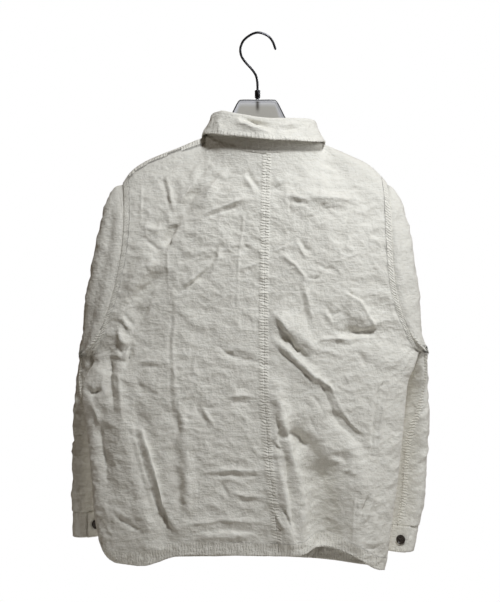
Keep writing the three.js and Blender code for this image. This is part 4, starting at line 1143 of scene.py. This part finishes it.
@dataclass
class Sleeve:
    """One piece of a sleeve, from the armhole to the cuff."""

    side: SideForm
    part: SleevePart
    cut: Cut
    pitch: float = 2.9

    @property
    def node(self) -> str:
        """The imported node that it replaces."""
        return f"sleeve_{self.part.name.lower()}_{self.side.side.word}"

    def wall(self) -> WallGrid:
        """The piece with its folds, creases and seams."""
        start, end = self.part.value
        girth = (end - start) * SLEEVE_GIRTH
        lap = SEAM_LAP / SLEEVE_GIRTH * (1 if self.part is SleevePart.UPPER else 0)
        stops = np.linspace(start - lap, end + lap, int(girth / self.pitch))
        share, stop = np.meshgrid(np.linspace(0, 1, int(560 / self.pitch)), stops, indexing="ij")
        v = share
        points, turn = self.side.sleeve_points(stop, v)
        z = points[..., 2]
        axis = np.stack([self.side.sleeve.read(z, "x"), self.side.sleeve.read(z, "y"), z], -1)
        outward = unit(points - axis)
        folds = 0.3 * total_height(SLEEVE_FOLDS, z, turn) * ramp(v, 0.05, 0.3) * (1 - ramp(v, 0.93, 1))
        points = points + outward * folds[..., None]
        from_edge = np.maximum(np.minimum(stop - start, end - stop) * SLEEVE_GIRTH, 0)
        from_head = np.linalg.norm(points - points[0], axis=-1)
        free = ramp(from_edge, 1, 9) * ramp(from_head, 1, 14) * (1 - ramp(v, 0.97, 1))
        bent = CRUMPLE.bend(points)
        creases = total_height(SLEEVE_CREASES, bent[..., 2], turn) * free * 0.9
        crumple = CRUMPLE.cloth(points + 400) * 0.6 * free
        # Its upper back lies in a long hollow beside the armhole.
        beside = -4.0 * np.exp(-(((turn - 24) / 15) ** 2)) * ramp(v, 0.02, 0.1) * (1 - ramp(v, 0.32, 0.5)) * free
        # The cuff gathers the sleeve's end, and the rear seam is puckered along its lower half.
        gather = seam_wobble(turn, 9, 7) * 0.9 * np.exp(-(((1 - v) * 560 / 16) ** 2)) * ramp(1 - v, 0, 0.01)
        rear = np.abs(stop - REAR_SEAM) * SLEEVE_GIRTH
        pucker = seam_wobble(z, 11, 6) * 0.6 * np.exp(-((rear / 9) ** 2)) * ramp(from_edge, 0, 2) * free
        seam = np.maximum(1 - ramp(rear, 6, 10), 1 - ramp(from_head, 5, 10))
        # Its head goes on under the panels, which lap over it.
        fore = -np.sin(2 * np.pi * stop)
        tucked = np.stack([np.full_like(fore, -4.5 * self.side.sign), -0.6 * fore, np.full_like(fore, -0.6)], -1)
        points = points + tucked * (1 - ramp(share, 0, 0.012))[..., None]
        lapped = 0.5 * (1 - ramp(from_edge, 4, 9)) * (self.part is SleevePart.UPPER)
        return WallGrid(
            points,
            rise=lapped - TUCK * (1 - ramp(share, 0, 0.02)),
            push=creases + crumple + gather + pucker + beside + 0.6 * (self.part is SleevePart.UPPER) * ramp(share, 0.01, 0.03),
            flip=self.side.side is Side.RIGHT,
            attributes={"seam": seam, "along": np.where(rear < 10, z, turn * 1.2)},
        )

    def build(self, finish: bpy.types.Material) -> bpy.types.Object:
        """Makes the piece and dresses it."""
        wall = self.wall()
        piece = wall.build(f"cloth_{self.node}")
        settle(piece, finish, "cotton", self.node)
        self.cut.declare(piece, wall)
        return piece


@dataclass
class Cuff:
    """A cuff: a strip that goes once round the wrist and laps over itself."""

    side: SideForm
    cut: Cut
    height: float = 42
    thick: float = 2.0
    lap: float = 0.1
    lap_rise: float = 3.4
    button_from_edge: float = 21
    gap: float = 0.5

    @property
    def node(self) -> str:
        """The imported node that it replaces."""
        return f"cuff_{self.side.side.word}"

    def point(self, turn: Array, down: Array, lift: Array | float) -> Array:
        """Points of the cuff by their turn, their distance down and how far they stand out."""
        z = np.full(np.shape(turn), self.side.cuff_z)
        ring = self.side.loop(z, turn)
        centre = np.stack([self.side.sleeve.read(z, "x"), self.side.sleeve.read(z, "y"), z], -1)
        drift = np.array([-self.side.cuff_drift[0], -self.side.cuff_drift[1], -1.0])
        return ring + unit(ring - centre) * np.asarray(lift)[..., None] + np.asarray(down)[..., None] * drift

    def wall(self) -> WallGrid:
        """The cuff with its gathers and stitched edge."""
        turned, t = np.meshgrid(np.linspace(0, 1 + self.lap, 170), np.linspace(0, 1, 20))
        lift = self.lap_rise * ramp(turned, 0.84, 0.97) - 0.4
        points = self.point(self.side.button_turn - 20 + 360 * turned, self.gap + t * self.height, lift)
        calm = ramp(turned, 0.02, 0.08) * (1 - ramp(turned, 0.82, 0.9))
        push = CRUMPLE.cloth(points + 900) * 0.45 * calm
        edge = 1 - ramp(np.minimum(t, 1 - t) * self.height, 3, 6)
        return WallGrid(
            points,
            thick=self.thick,
            push=push,
            flip=self.side.side is Side.RIGHT,
            attributes={"seam": edge * 0.7, "along": turned * 300},
        )

    def build(self, finish: bpy.types.Material) -> bpy.types.Object:
        """Makes the cuff and dresses it."""
        wall = self.wall()
        piece = wall.build(f"cloth_{self.node}")
        settle(piece, finish, "cotton", self.node)
        self.cut.declare(piece, wall)
        return piece


@dataclass
class Collar:
    """The folded collar: its stand leans inwards, rolls over and falls outwards."""

    cut: Cut
    form: Table
    thick: float = 2.2
    seam: float = 2.7
    roll: float = 4.5
    end: float = 174

    def wall(self) -> WallGrid:
        """The collar from one end at the centre front round the back to the other."""
        turns = np.linspace(-self.end, self.end, 230)
        angle = np.radians(turns)
        x = NECK.x + NECK.half_width * np.sin(angle)
        y = NECK.y - NECK.half_depth * np.cos(angle)
        back = NECKLINE[Face.BACK].read(x, "z")
        base = np.where(np.abs(turns) < 90, back, NECKLINE[Face.FRONT].read(x, "z")) + self.seam
        rise, lean, flare, drop = (self.form.read(turns, key) for key in ("rise", "lean", "flare", "drop"))
        rows, fallen = [], []
        for t in np.linspace(-0.2, 1, 14):
            rows.append((-lean * t * abs(t), (rise - self.roll) * t))
            fallen.append(0.0)
        for t in np.linspace(0, 1, 12)[1:]:
            out = -lean + self.roll - self.roll * math.cos(math.pi * t)
            rows.append((out, rise - self.roll + self.roll * math.sin(math.pi * t)))
            fallen.append(0.0)
        for t in np.linspace(0, 1, 26)[1:]:
            rows.append((-lean + 2 * self.roll + flare * t**1.3, rise - self.roll - drop * t))
            fallen.append(t)
        facing = np.stack([np.sin(angle), -np.cos(angle), np.zeros_like(angle)], -1)
        points = np.stack([np.stack([x, y, base + up], -1) + facing * out[:, None] for out, up in rows])
        fall = np.broadcast_to(np.array(fallen)[:, None], points.shape[:2])
        on_back = ramp(-points[..., 1], 8, 20)
        creases = total_height(COLLAR_CREASES, points[..., 0], points[..., 2]) * on_back * ramp(fall, 0, 0.15) * 2.6
        crumple = CRUMPLE.cloth(points + 1300) * 0.6 * ramp(fall, 0, 0.1) * (1 - ramp(fall, 0.97, 1) * 0.6)
        edge = ramp(fall, 0.8, 0.86)
        return WallGrid(
            points,
            thick=self.thick,
            push=creases + crumple,
            attributes={"seam": edge * 0.6, "along": np.broadcast_to(turns * 1.3, fall.shape)},
        )

    def build(self, finish: bpy.types.Material) -> bpy.types.Object:
        """Makes the collar and dresses it."""
        wall = self.wall()
        piece = wall.build("cloth_collar")
        settle(piece, finish, "cotton", "collar")
        self.cut.declare(piece, wall)
        return piece


COLLAR_FORM = Table(
    "turn rise lean flare drop",
    (-174, 23, 4, 16, 66),
    (-135, 27, 8, 18, 50),
    (-110, 29, 11, 16, 36),
    (-90, 30, 14, 14, 28),
    (-60, 41, 10, 14, 32),
    (-45, 48, 7, 15, 34),
    (0, 48, 6, 15, 32),
    (45, 42, 7, 15, 34),
    (60, 38, 9, 15, 33),
    (90, 29, 14, 14, 27),
    (110, 28, 11, 16, 36),
    (135, 27, 8, 18, 50),
    (174, 23, 4, 16, 66),
)


class FrontSurface:
    """Finds how far forward the dressed fronts stand.

    Args:
        pieces: The two dressed fronts.
    """

    def __init__(self, *pieces: bpy.types.Object) -> None:
        self.trees = []
        for piece in pieces:
            mesh = piece.data
            corners = [vertex.co.copy() for vertex in mesh.vertices]
            self.trees.append(BVHTree.FromPolygons(corners, [tuple(face.vertices) for face in mesh.polygons]))

    def highest(self, x: float, z: float, reach: float) -> float:
        """The furthest forward that the cloth stands within reach of x, z, in millimetres."""
        best = -1e9
        for dx, dz in ((0, 0), (-1, 0), (1, 0), (0, -1), (0, 1), (-0.5, 0), (0.5, 0), (0, -0.5), (0, 0.5)):
            start = Vector(((x + dx * reach) * MM, 1.0, (z + dz * reach) * MM))
            for tree in self.trees:
                hit = tree.ray_cast(start, Vector((0, -1, 0)))[0]
                if hit is not None:
                    best = max(best, hit.y / MM)
        return best


@dataclass
class Pocket:
    """A patch pocket that follows its front, with a turned-over top edge."""

    node: str
    side: SideForm
    x: float
    top: float
    width: float
    height: float
    cut: Cut
    thick: float = 1.5
    lift: float = 0.35
    reach: float = 7.0

    def wall(self, surface: FrontSurface) -> WallGrid:
        """The pocket on a dressed front."""
        half = -self.side.sign * self.width / 2
        xs = np.linspace(self.x + half, self.x - half, int(self.width / 3))
        zs = np.linspace(self.top - self.height, self.top, int(self.height / 3))
        points = np.array(
            [[(x, surface.highest(x, z, self.reach) + self.thick / 2 + self.lift, z) for x in xs] for z in zs]
        )
        u, v = np.meshgrid(np.linspace(0, 1, len(xs)), np.linspace(0, 1, len(zs)))
        inset = np.minimum(np.minimum(u, 1 - u) * self.width, v * self.height)
        from_top = (1 - v) * self.height
        bag = 1.4 * ramp(inset, 0, 26) * ramp(from_top, 0, 30) + 0.6 * ramp(inset, 8, 40)
        crumple = (CRUMPLE.cloth(points + 1700) * 0.5 + 0.5) * ramp(inset, 1, 12)
        hem = 1 - ramp(from_top, 22, 24)
        return WallGrid(
            points,
            thick=self.thick,
            rise=FELL_RISE * hem,
            push=np.maximum(bag + crumple, 0),
            flip=self.side.side is Side.RIGHT,
            attributes={"seam": np.maximum(1 - ramp(inset, 4, 8), hem * 0.4), "along": points[..., 2] + points[..., 0]},
        )

    def build(self, finish: bpy.types.Material, surface: FrontSurface) -> bpy.types.Object:
        """Makes the pocket and dresses it."""
        wall = self.wall(surface)
        piece = wall.build(f"cloth_{self.node}")
        settle(piece, finish, "cotton", self.node)
        self.cut.declare(piece, wall)
        return piece


@dataclass
class Button:
    """A four-hole button, turned round its own axis."""

    node: str
    radius: float
    thick: float = 3.0
    rim: float = 1.8
    dish: float = 0.8
    hole_radius: float = 0.9
    hole_spread: float = 1.7
    sides: int = 48

    def body(self) -> bpy.types.Object:
        """The button with its back at the origin and its front towards +Y."""
        r, t = self.radius, self.thick
        bend = 0.8
        profile = [(0.02, 0), (r - 1, 0), (r - 0.3, 0.25), (r, bend), (r, t - bend), (r - 0.25, t - 0.2), (r - bend, t)]
        profile += [(r - self.rim, t), (r - self.rim - 0.5, t - self.dish / 2), (r - self.rim - 1, t - self.dish)]
        profile += [(0.02, t - self.dish)]
        turn = np.linspace(0, 2 * np.pi, self.sides, endpoint=False)
        rings = np.array([[(a * math.cos(w), y, -a * math.sin(w)) for w in turn] for a, y in profile])
        made = swept(f"{self.node}_shape", rings)
        for i in range(4):
            w = math.pi / 4 + i * math.pi / 2
            x, z = self.hole_spread * math.cos(w), self.hole_spread * math.sin(w)
            circle = [(self.hole_radius * math.cos(a), self.hole_radius * math.sin(a)) for a in turn[::3]]
            drill = swept("drill", np.array([[(x + a, y, z - b) for a, b in circle] for y in (-1.0, t + 1.0)]))
            cut = made.modifiers.new("hole", "BOOLEAN")
            cut.object, cut.operation, cut.solver = drill, "DIFFERENCE", "EXACT"
            bpy.context.view_layer.update()
            shape = bpy.data.meshes.new_from_object(made.evaluated_get(bpy.context.evaluated_depsgraph_get()))
            made.modifiers.remove(cut)
            made.data = shape
            bpy.data.objects.remove(drill)
        made.data.shade_smooth()
        made.data.set_sharp_from_angle(angle=math.radians(35))
        return made

    def build(self, finish: bpy.types.Material, at: Array, facing: Array) -> bpy.types.Object:
        """Makes the button and places it.

        Args:
            finish: Its material.
            at: The middle of its back, in millimetres.
            facing: The way that its front looks.

        Returns:
            The button.
        """
        made = self.body()
        made.name = f"sewn_{self.node}"
        turned = Vector((0, 1, 0)).rotation_difference(Vector(facing)).to_matrix().to_4x4()
        made.data.transform(turned)
        made.data.transform(Matrix.Translation(Vector(at) * MM))
        settle(made, finish, "button", self.node)
        return made


@dataclass
class Hanger:
    """The moulded hanger with its ferrule and its wire hook."""

    wire: float = 2.0
    hub_half: float = 62.0
    border: float = 3.2
    recess: float = 1.1

    LINE = (
        (30, -26.5),
        (25.2, -13.4),
        (19, -5),
        (9.6, 0.3),
        (-1, 2),
        (-11.6, -1.8),
        (-22.3, -10.2),
        (-27.2, -19.6),
        (-28.4, -28),
        (-26.2, -37.6),
        (-19, -48),
        (-9.4, -58.6),
        (-3.1, -68),
        (-0.5, -78.4),
        (0, -90),
        (0, -103.6),
    )
    ARM = Table(
        "x top bottom thick",
        (0, -108.8, -170, 10),
        (28, -108.8, -171, 10),
        (32, -111.5, -172, 10),
        (36, -118, -174, 10),
        (46, -138, -180, 10),
        (58, -160, -187, 11),
        (70, -175, -199, 11),
        (90, -190, -213, 8.4),
        (116, -200, -223, 7.2),
        (160, -209.6, -236, 13),
        (184, -223.5, -248, 13),
        (196, -236, -254, 10),
    )

    def hook(self, finish: bpy.types.Material) -> None:
        """The wire, bent along its line."""
        stops = np.array(self.LINE, float)
        knots = np.concatenate([[0], np.cumsum(np.linalg.norm(np.diff(stops, axis=0), axis=1) ** 0.5)])
        line = np.stack([self.smooth(knots, stops[:, i], np.linspace(0, knots[-1], 140)) for i in range(2)], -1)
        along = unit(np.gradient(line, axis=0))
        turn = np.linspace(0, 2 * np.pi, 20, endpoint=False)
        side = np.stack([-along[:, 1], along[:, 0]], -1)
        rings = []
        ends = [(0, 0.55), (0.35, 0.85), *[(None, 1.0)] * 138, (-0.2, 1.0)]
        for i, (point, across) in enumerate(zip(line, side)):
            size = self.wire * (ends[i][1] if i < 2 else 1)
            rings.append(
                [
                    (point[0] + size * math.cos(w) * across[0], size * math.sin(w), point[1] + size * math.cos(w) * across[1])
                    for w in turn
                ]
            )
        settle(swept("wire_hook", np.array(rings)), finish, "hook_steel", "hanger_hook")

    @staticmethod
    def smooth(knots: Array, values: Array, at: Array) -> Array:
        """A smooth curve through values at knots."""
        rows = [(knot, value) for knot, value in zip(knots, values)]
        return Table("key value", *rows).read(at, "value")

    def ferrule(self, finish: bpy.types.Material) -> None:
        """The collar of steel that the hook turns in."""
        profile = [(0.01, -108.4), (3.2, -108.4), (3.2, -106), (4.2, -105.6), (4.6, -105)]
        profile += [(4.6, -94), (4.4, -93.4), (3.6, -93), (2.4, -93), (2.4, -104), (0.01, -104)]
        turn = np.linspace(0, 2 * np.pi, 40, endpoint=False)
        rings = np.array([[(a * math.cos(w), a * math.sin(w), z) for w in turn] for a, z in profile])
        made = swept("turned_ferrule", rings)
        made.data.set_sharp_from_angle(angle=math.radians(40))
        settle(made, finish, "hook_steel", "hanger_ferrule")

    def body(self, finish: bpy.types.Material) -> None:
        """The moulded body, with a hollowed face inside its border."""
        xs = np.concatenate([np.linspace(-196, -40, 90), np.linspace(-39, 39, 79), np.linspace(40, 196, 90)])
        turn = 2 * np.pi * (np.arange(64) + 0.5) / 64
        flat = lambda c: np.sign(c) * np.abs(c) ** 0.55  # noqa: E731
        top, bottom, thick = (self.ARM.read(np.abs(xs), key) for key in ("top", "bottom", "thick"))
        y = thick[:, None] / 2 * flat(np.cos(turn))[None]
        z = ((top + bottom) / 2)[:, None] + ((top - bottom) / 2)[:, None] * flat(np.sin(turn))[None]
        x = np.broadcast_to(xs[:, None], y.shape)
        # Its rim follows the sloping sides, down to where the collar hides them.
        slope = np.gradient(top, xs)
        inside = np.minimum((top[:, None] - z) / np.sqrt(1 + slope**2)[:, None], self.hub_half - np.abs(x))
        hollow = ramp(inside, self.border, self.border + 1.4)
        y = y - np.sign(y) * self.recess * hollow
        from_edge = np.minimum(inside, 40.0)
        # A painted reflection of the ferrule: a dark band down the middle of the face, fading out 12 to 24 mm below its
        # top; the slot mask marks it.
        slot = np.exp(-((x / 3.0) ** 2)) * (1 - ramp(top[:, None] - z, 12, 24)) * ramp(inside, 2, 4)
        values = {"from_edge": from_edge.reshape(-1), "slot": slot.reshape(-1)}
        made = swept("moulded_body", np.stack([x, y, z], -1), values=values)
        flatter = made.data
        flatter.set_sharp_from_angle(angle=math.radians(50))
        settle(made, finish, "hanger_plastic", "hanger_body")

    def build(self, steel: bpy.types.Material, plastic: bpy.types.Material) -> None:
        """Makes the whole hanger."""
        self.hook(steel)
        self.ferrule(steel)
        self.body(plastic)


# Finishes


def linear(code: str) -> tuple[float, float, float, float]:
    """The linear colour of an sRGB hex value."""
    parts = [int(code[i : i + 2], 16) / 255 for i in (1, 3, 5)]
    return (*[c / 12.92 if c <= 0.04045 else ((c + 0.055) / 1.055) ** 2.4 for c in parts], 1.0)


def add(tree: bpy.types.NodeTree, kind: str, values: dict[Any, Any], links: dict[Any, Any]) -> bpy.types.Node:
    """Adds a node.

    Args:
        tree: Where it is added.
        kind: Its type.
        values: Its settings, and the values of its inputs, by name or by number.
        links: The outputs that feed its inputs.

    Returns:
        The node.
    """
    node = tree.nodes.new(kind)
    for key, value in values.items():
        if isinstance(key, int) or key in node.inputs:
            node.inputs[key].default_value = value
        else:
            setattr(node, key, value)
    for key, output in links.items():
        tree.links.new(output, node.inputs[key])
    return node


def fresh(name: str) -> tuple[bpy.types.Material, bpy.types.NodeTree, bpy.types.Node]:
    """A new material with its tree and its surface shader."""
    material = bpy.data.materials.new(name)
    material.use_nodes = True
    return material, material.node_tree, material.node_tree.nodes["Principled BSDF"]


@dataclass(frozen=True)
class WashedCotton:
    """Washed slub cotton drill in ecru, soft and dry: no highlight, uneven yarns, small creases that stay."""

    light: str = "#F1F0EB"
    yarn: str = "#DCD8CE"
    # seam is the tone painted on the crests of the puckers along seams and hems: painted light and shade, paler on
    # their crests than in the troughs between them.
    seam: str = "#F1EEE5"
    roughness: float = 0.93
    ior: float = 1.53
    slub_long: float = 11.0  # mm, real slubs are finer and are drawn as coarse as they need to show
    slub_high: float = 2.6
    hollow: float = 7.0
    rung: float = 4.7

    def make(self) -> bpy.types.Material:
        """Makes the material."""
        material, tree, shader = fresh("washed_cotton")
        where = add(tree, "ShaderNodeTexCoord", {}, {}).outputs["Object"]
        size = (1000 / self.slub_long, 1000 / self.slub_long, 1000 / self.slub_high)
        stretched = add(tree, "ShaderNodeMapping", {"Scale": size}, {"Vector": where}).outputs[0]
        slub = add(tree, "ShaderNodeTexNoise", {"Scale": 1.0, "Detail": 3.0}, {"Vector": stretched}).outputs["Fac"]
        hollows = {"Scale": 1000 / self.hollow, "Detail": 3.0, "Roughness": 0.6}
        hollow = add(tree, "ShaderNodeTexNoise", hollows, {"Vector": where}).outputs["Fac"]
        seam = add(tree, "ShaderNodeAttribute", {"attribute_name": "seam"}, {}).outputs["Fac"]
        along = add(tree, "ShaderNodeAttribute", {"attribute_name": "along"}, {}).outputs["Fac"]
        bent = add(tree, "ShaderNodeMath", {"operation": "MULTIPLY_ADD", 1: 9.0}, {0: hollow, 2: along}).outputs[0]
        pace = {"operation": "MULTIPLY", 1: 2 * math.pi / self.rung}
        phase = add(tree, "ShaderNodeMath", pace, {0: bent}).outputs[0]
        wave = add(tree, "ShaderNodeMath", {"operation": "SINE"}, {0: phase}).outputs[0]
        rung = add(tree, "ShaderNodeMath", {"operation": "MULTIPLY_ADD", 1: 0.5, 2: 0.5}, {0: wave}).outputs[0]
        high = {"operation": "MULTIPLY", 1: 0.95}
        slub_height = add(tree, "ShaderNodeMath", high, {0: slub}).outputs[0]
        soft = {"operation": "MULTIPLY_ADD", 1: 2.1}
        height = add(tree, "ShaderNodeMath", soft, {0: hollow, 2: slub_height}).outputs[0]
        drawn = add(tree, "ShaderNodeMath", {"operation": "MULTIPLY"}, {0: seam, 1: rung}).outputs[0]
        deep = {"operation": "MULTIPLY_ADD", 1: 0.8}
        total = add(tree, "ShaderNodeMath", deep, {0: drawn, 2: height}).outputs[0]
        relief = {"Strength": 1.0, "Distance": MM}
        bump = add(tree, "ShaderNodeBump", relief, {"Height": total}).outputs["Normal"]
        tones = {"data_type": "RGBA", 6: linear(self.yarn), 7: linear(self.light)}
        body = add(tree, "ShaderNodeMix", tones, {0: slub}).outputs[2]
        # Painted light and shade along the seams' puckers: the colour goes paler on the crests of their rungs and stays
        # the cloth's own tone in the troughs.
        painted_pucker_shading = {"data_type": "RGBA", 7: linear(self.seam)}
        colour = add(tree, "ShaderNodeMix", painted_pucker_shading, {0: drawn, 6: body}).outputs[2]
        tree.links.new(colour, shader.inputs["Base Color"])
        tree.links.new(bump, shader.inputs["Normal"])
        shader.inputs["Roughness"].default_value = self.roughness
        shader.inputs["IOR"].default_value = self.ior
        shader.inputs["Specular IOR Level"].default_value = 0.2
        shader.inputs["Sheen Weight"].default_value = 0.12
        shader.inputs["Sheen Roughness"].default_value = 0.6
        return material


@dataclass(frozen=True)
class MouldedResin:
    """Plain moulded plastic with an even, polished or satin surface."""

    name: str
    colour: str
    roughness: float
    ior: float

    def make(self) -> bpy.types.Material:
        """Makes the material."""
        material, _, shader = fresh(self.name)
        shader.inputs["Base Color"].default_value = linear(self.colour)
        shader.inputs["Roughness"].default_value = self.roughness
        shader.inputs["IOR"].default_value = self.ior
        return material


@dataclass(frozen=True)
class SmokeStyrene:
    """Smoke-tinted moulded styrene, with the light on it painted into its colour: painted shade at its thick rim, where
    the edge refracts, a painted pale band inside it, and a paler tone where its thin face lets light through.
    """

    rim: str = "#2E2E33"
    border: str = "#C9C9CE"
    face: str = "#B3B0AA"
    # The tone of the painted reflection of the steel ferrule, dark, down the middle of the face.
    ferrule_reflection: str = "#4B4742"
    roughness: float = 0.3
    ior: float = 1.59

    def make(self) -> bpy.types.Material:
        """Makes the material."""
        material, tree, shader = fresh("smoke_styrene")
        inside = add(tree, "ShaderNodeAttribute", {"attribute_name": "from_edge"}, {}).outputs["Fac"]
        slot = add(tree, "ShaderNodeAttribute", {"attribute_name": "slot"}, {}).outputs["Fac"]
        colour = None
        # Painted light by distance from the edge: painted shade at the rim, a painted pale band, then the face's paler
        # tone of light through it.
        for tone, low, high in ((self.border, 2.0, 2.8), (self.face, 4.0, 13.0)):
            limits = {"From Min": low, "From Max": high}
            share = add(tree, "ShaderNodeMapRange", limits, {"Value": inside}).outputs[0]
            values = {"data_type": "RGBA", 7: linear(tone)}
            links = {0: share}
            if colour is None:
                values[6] = linear(self.rim)
            else:
                links[6] = colour
            colour = add(tree, "ShaderNodeMix", values, links).outputs[2]
        # The slot mask carries the painted reflection of the ferrule: dark, down the middle of the face.
        values = {"data_type": "RGBA", 7: linear(self.ferrule_reflection)}
        tree.links.new(add(tree, "ShaderNodeMix", values, {0: slot, 6: colour}).outputs[2], shader.inputs["Base Color"])
        shader.inputs["Roughness"].default_value = self.roughness
        shader.inputs["IOR"].default_value = self.ior
        return material


@dataclass(frozen=True)
class PlatedWire:
    """Black nickel on drawn steel wire: dark, with clear narrow highlights."""

    colour: str = "#4A4A4E"
    roughness: float = 0.26

    def make(self) -> bpy.types.Material:
        """Makes the material."""
        material, _, shader = fresh("plated_wire")
        shader.inputs["Base Color"].default_value = linear(self.colour)
        shader.inputs["Metallic"].default_value = 1.0
        shader.inputs["Roughness"].default_value = self.roughness
        return material


# The studio


@dataclass
class Studio:
    """The camera at the photograph's place, soft lights, and a pale floor far below."""

    camera_at: tuple[float, float, float] = (-12.4, -2200, -441)
    lens: float = 79.7
    shade: str = "#FFE6C6"
    floor_z: float = -1600
    floor_radius: float = 2400
    overhead: float = 0.18
    behind_camera: float = 0.27
    key_power: float = 27.0
    fill_power: float = 8.0
    front_power: float = 24.0

    def camera(self) -> None:
        """A level camera that looks along +Y."""
        data = bpy.data.cameras.new("camera")
        data.lens, data.sensor_width = self.lens, 36.0
        data.clip_end = 50.0
        made = bpy.data.objects.new("camera", data)
        made.location = Vector(self.camera_at) * MM
        made.rotation_euler = (math.radians(90), 0, 0)
        bpy.context.scene.collection.objects.link(made)
        bpy.context.scene.camera = made

    def world(self) -> None:
        """White behind the jacket, and softer light on it that comes mostly from the sides and above."""
        world = bpy.data.worlds.new("studio")
        bpy.context.scene.world = world
        world.use_nodes = True
        tree = world.node_tree
        back = tree.nodes["Background"]
        way = add(tree, "ShaderNodeTexCoord", {}, {}).outputs["Generated"]
        parts = add(tree, "ShaderNodeSeparateXYZ", {}, {0: way}).outputs
        rise = {"From Min": -1.0, "From Max": 1.0, "To Min": 0.05, "To Max": self.overhead}
        above = add(tree, "ShaderNodeMapRange", rise, {"Value": parts[2]}).outputs[0]
        face = {"From Min": -1.0, "From Max": 0.3, "To Min": self.behind_camera, "To Max": 1.0}
        front = add(tree, "ShaderNodeMapRange", face, {"Value": parts[1]}).outputs[0]
        lit = add(tree, "ShaderNodeMath", {"operation": "MULTIPLY"}, {0: above, 1: front}).outputs[0]
        seen = add(tree, "ShaderNodeLightPath", {}, {}).outputs["Is Camera Ray"]
        shown = add(tree, "ShaderNodeMix", {"data_type": "FLOAT", 3: 1.0}, {0: seen, 2: lit}).outputs[0]
        tree.links.new(shown, back.inputs["Strength"])
        tones = {"data_type": "RGBA", 6: linear(self.shade), 7: (1, 1, 1, 1)}
        tree.links.new(add(tree, "ShaderNodeMix", tones, {0: seen}).outputs[2], back.inputs["Color"])

    def lamp(self, name: str, at: tuple[float, float, float], size: float, power: float) -> None:
        """Adds a round soft lamp that looks at the jacket.

        Args:
            name: Its name.
            at: Its place in metres.
            size: Its diameter in metres.
            power: Its power in watts.
        """
        data = bpy.data.lights.new(name, "AREA")
        data.shape, data.size, data.energy = "DISK", size, power
        data.color = (0.95, 0.98, 1.0)
        made = bpy.data.objects.new(name, data)
        made.location = at
        aim = Vector((0, 0, -0.4)) - made.location
        made.rotation_euler = aim.to_track_quat("-Z", "Y").to_euler()
        bpy.context.scene.collection.objects.link(made)

    def floor(self) -> None:
        """A round pale floor, below what the camera sees from the photograph's place."""
        turn = np.linspace(0, 2 * np.pi, 96, endpoint=False)
        rim = [(self.floor_radius * math.cos(w), self.floor_radius * math.sin(w), self.floor_z) for w in turn]
        made = mesh_object("floor", np.array(rim), [list(range(96))])
        made.data.materials.append(MouldedResin("floor_paint", "#F2F1EE", 0.8, 1.45).make())

    def build(self) -> None:
        """Sets the whole studio up."""
        bpy.context.scene.view_settings.view_transform = "Standard"
        self.camera()
        self.world()
        self.lamp("key", (0.4, -1.25, 1.0), 0.3, self.key_power)
        self.lamp("fill", (1.6, -0.5, 0.1), 0.9, self.fill_power)
        self.lamp("front", (0.0, 2.2, 0.2), 1.2, self.front_power)
        self.floor()


# The cuts with their seam allowances, worked out from the pattern of such a jacket. The sleeves' widths are
# their shares of the girth of this jacket's slim sleeves, with 20 mm for the seams.
CUTS = {
    "back_left": Cut(330, 720, 0.204),
    "back_right": Cut(295, 720, 0.178),
    "front_left": Cut(345, 720, 0.210),
    "front_right": Cut(315, 720, 0.188),
    "sleeve_upper": Cut(250, 600, 0.122),
    "sleeve_under": Cut(90, 340, 0.028),
    "cuff": Cut(300, 45),
    "collar": Cut(470, 130),
    "pocket_hip": Cut(152, 190),
    "pocket_chest": Cut(106, 142),
}


def main() -> None:
    """Builds the jacket, the hanger and the studio, and reports each piece."""
    logging.basicConfig(level=logging.INFO, format="%(name)s: %(message)s")
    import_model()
    cotton = WashedCotton().make()
    resin = MouldedResin("polished_resin", "#2B221D", 0.32, 1.55).make()
    shell = SmokeStyrene().make()
    steel = PlatedWire().make()

    fronts = []
    for side in SIDES:
        word = side.side.word
        Panel(side, Face.BACK, CUTS[f"back_{word}"], 2.35).build(cotton)
        fronts.append(Panel(side, Face.FRONT, CUTS[f"front_{word}"], 3.3).build(cotton))
        Sleeve(side, SleevePart.UPPER, CUTS["sleeve_upper"]).build(cotton)
        Sleeve(side, SleevePart.UNDER, CUTS["sleeve_under"]).build(cotton)
        Cuff(side, CUTS["cuff"]).build(cotton)
    Collar(CUTS["collar"], COLLAR_FORM).build(cotton)

    surface = FrontSurface(*fronts)
    Pocket("pocket_hip_left", LEFT, -118, -660, 150, 165, CUTS["pocket_hip"]).build(cotton, surface)
    Pocket("pocket_hip_right", RIGHT, 118, -660, 150, 165, CUTS["pocket_hip"]).build(cotton, surface)
    Pocket("pocket_chest_left", LEFT, -108, -372, 104, 118, CUTS["pocket_chest"]).build(cotton, surface)

    for i, z in enumerate((-282, -420, -556, -692, -812)):
        button = Button(f"button_front_{i + 1}", 9)
        at = np.array([0.0, surface.highest(0, z, button.radius) + 0.3, z])
        button.build(resin, at, np.array([0.0, 1.0, 0.0]))
    for side in SIDES:
        cuff = Cuff(side, CUTS["cuff"])
        down = cuff.gap + cuff.height - cuff.button_from_edge
        turn = np.array([side.button_turn - 4, side.button_turn, side.button_turn + 4], float)
        line = cuff.point(turn, np.full(3, down), 0)
        beside = line[2] - line[0]
        facing = unit(np.array([beside[1], -beside[0], 0]) * side.sign)
        above = cuff.point(turn[1:2], np.array([down]), cuff.lap_rise + cuff.thick / 2 + side.button_lift)[0]
        at = line[1] + facing * float((above - line[1]) @ facing)
        Button(f"button_cuff_{side.side.word}", 8).build(resin, at, facing)

    Hanger().build(steel, shell)
    Studio().build()


if __name__ == "__main__":
    main()
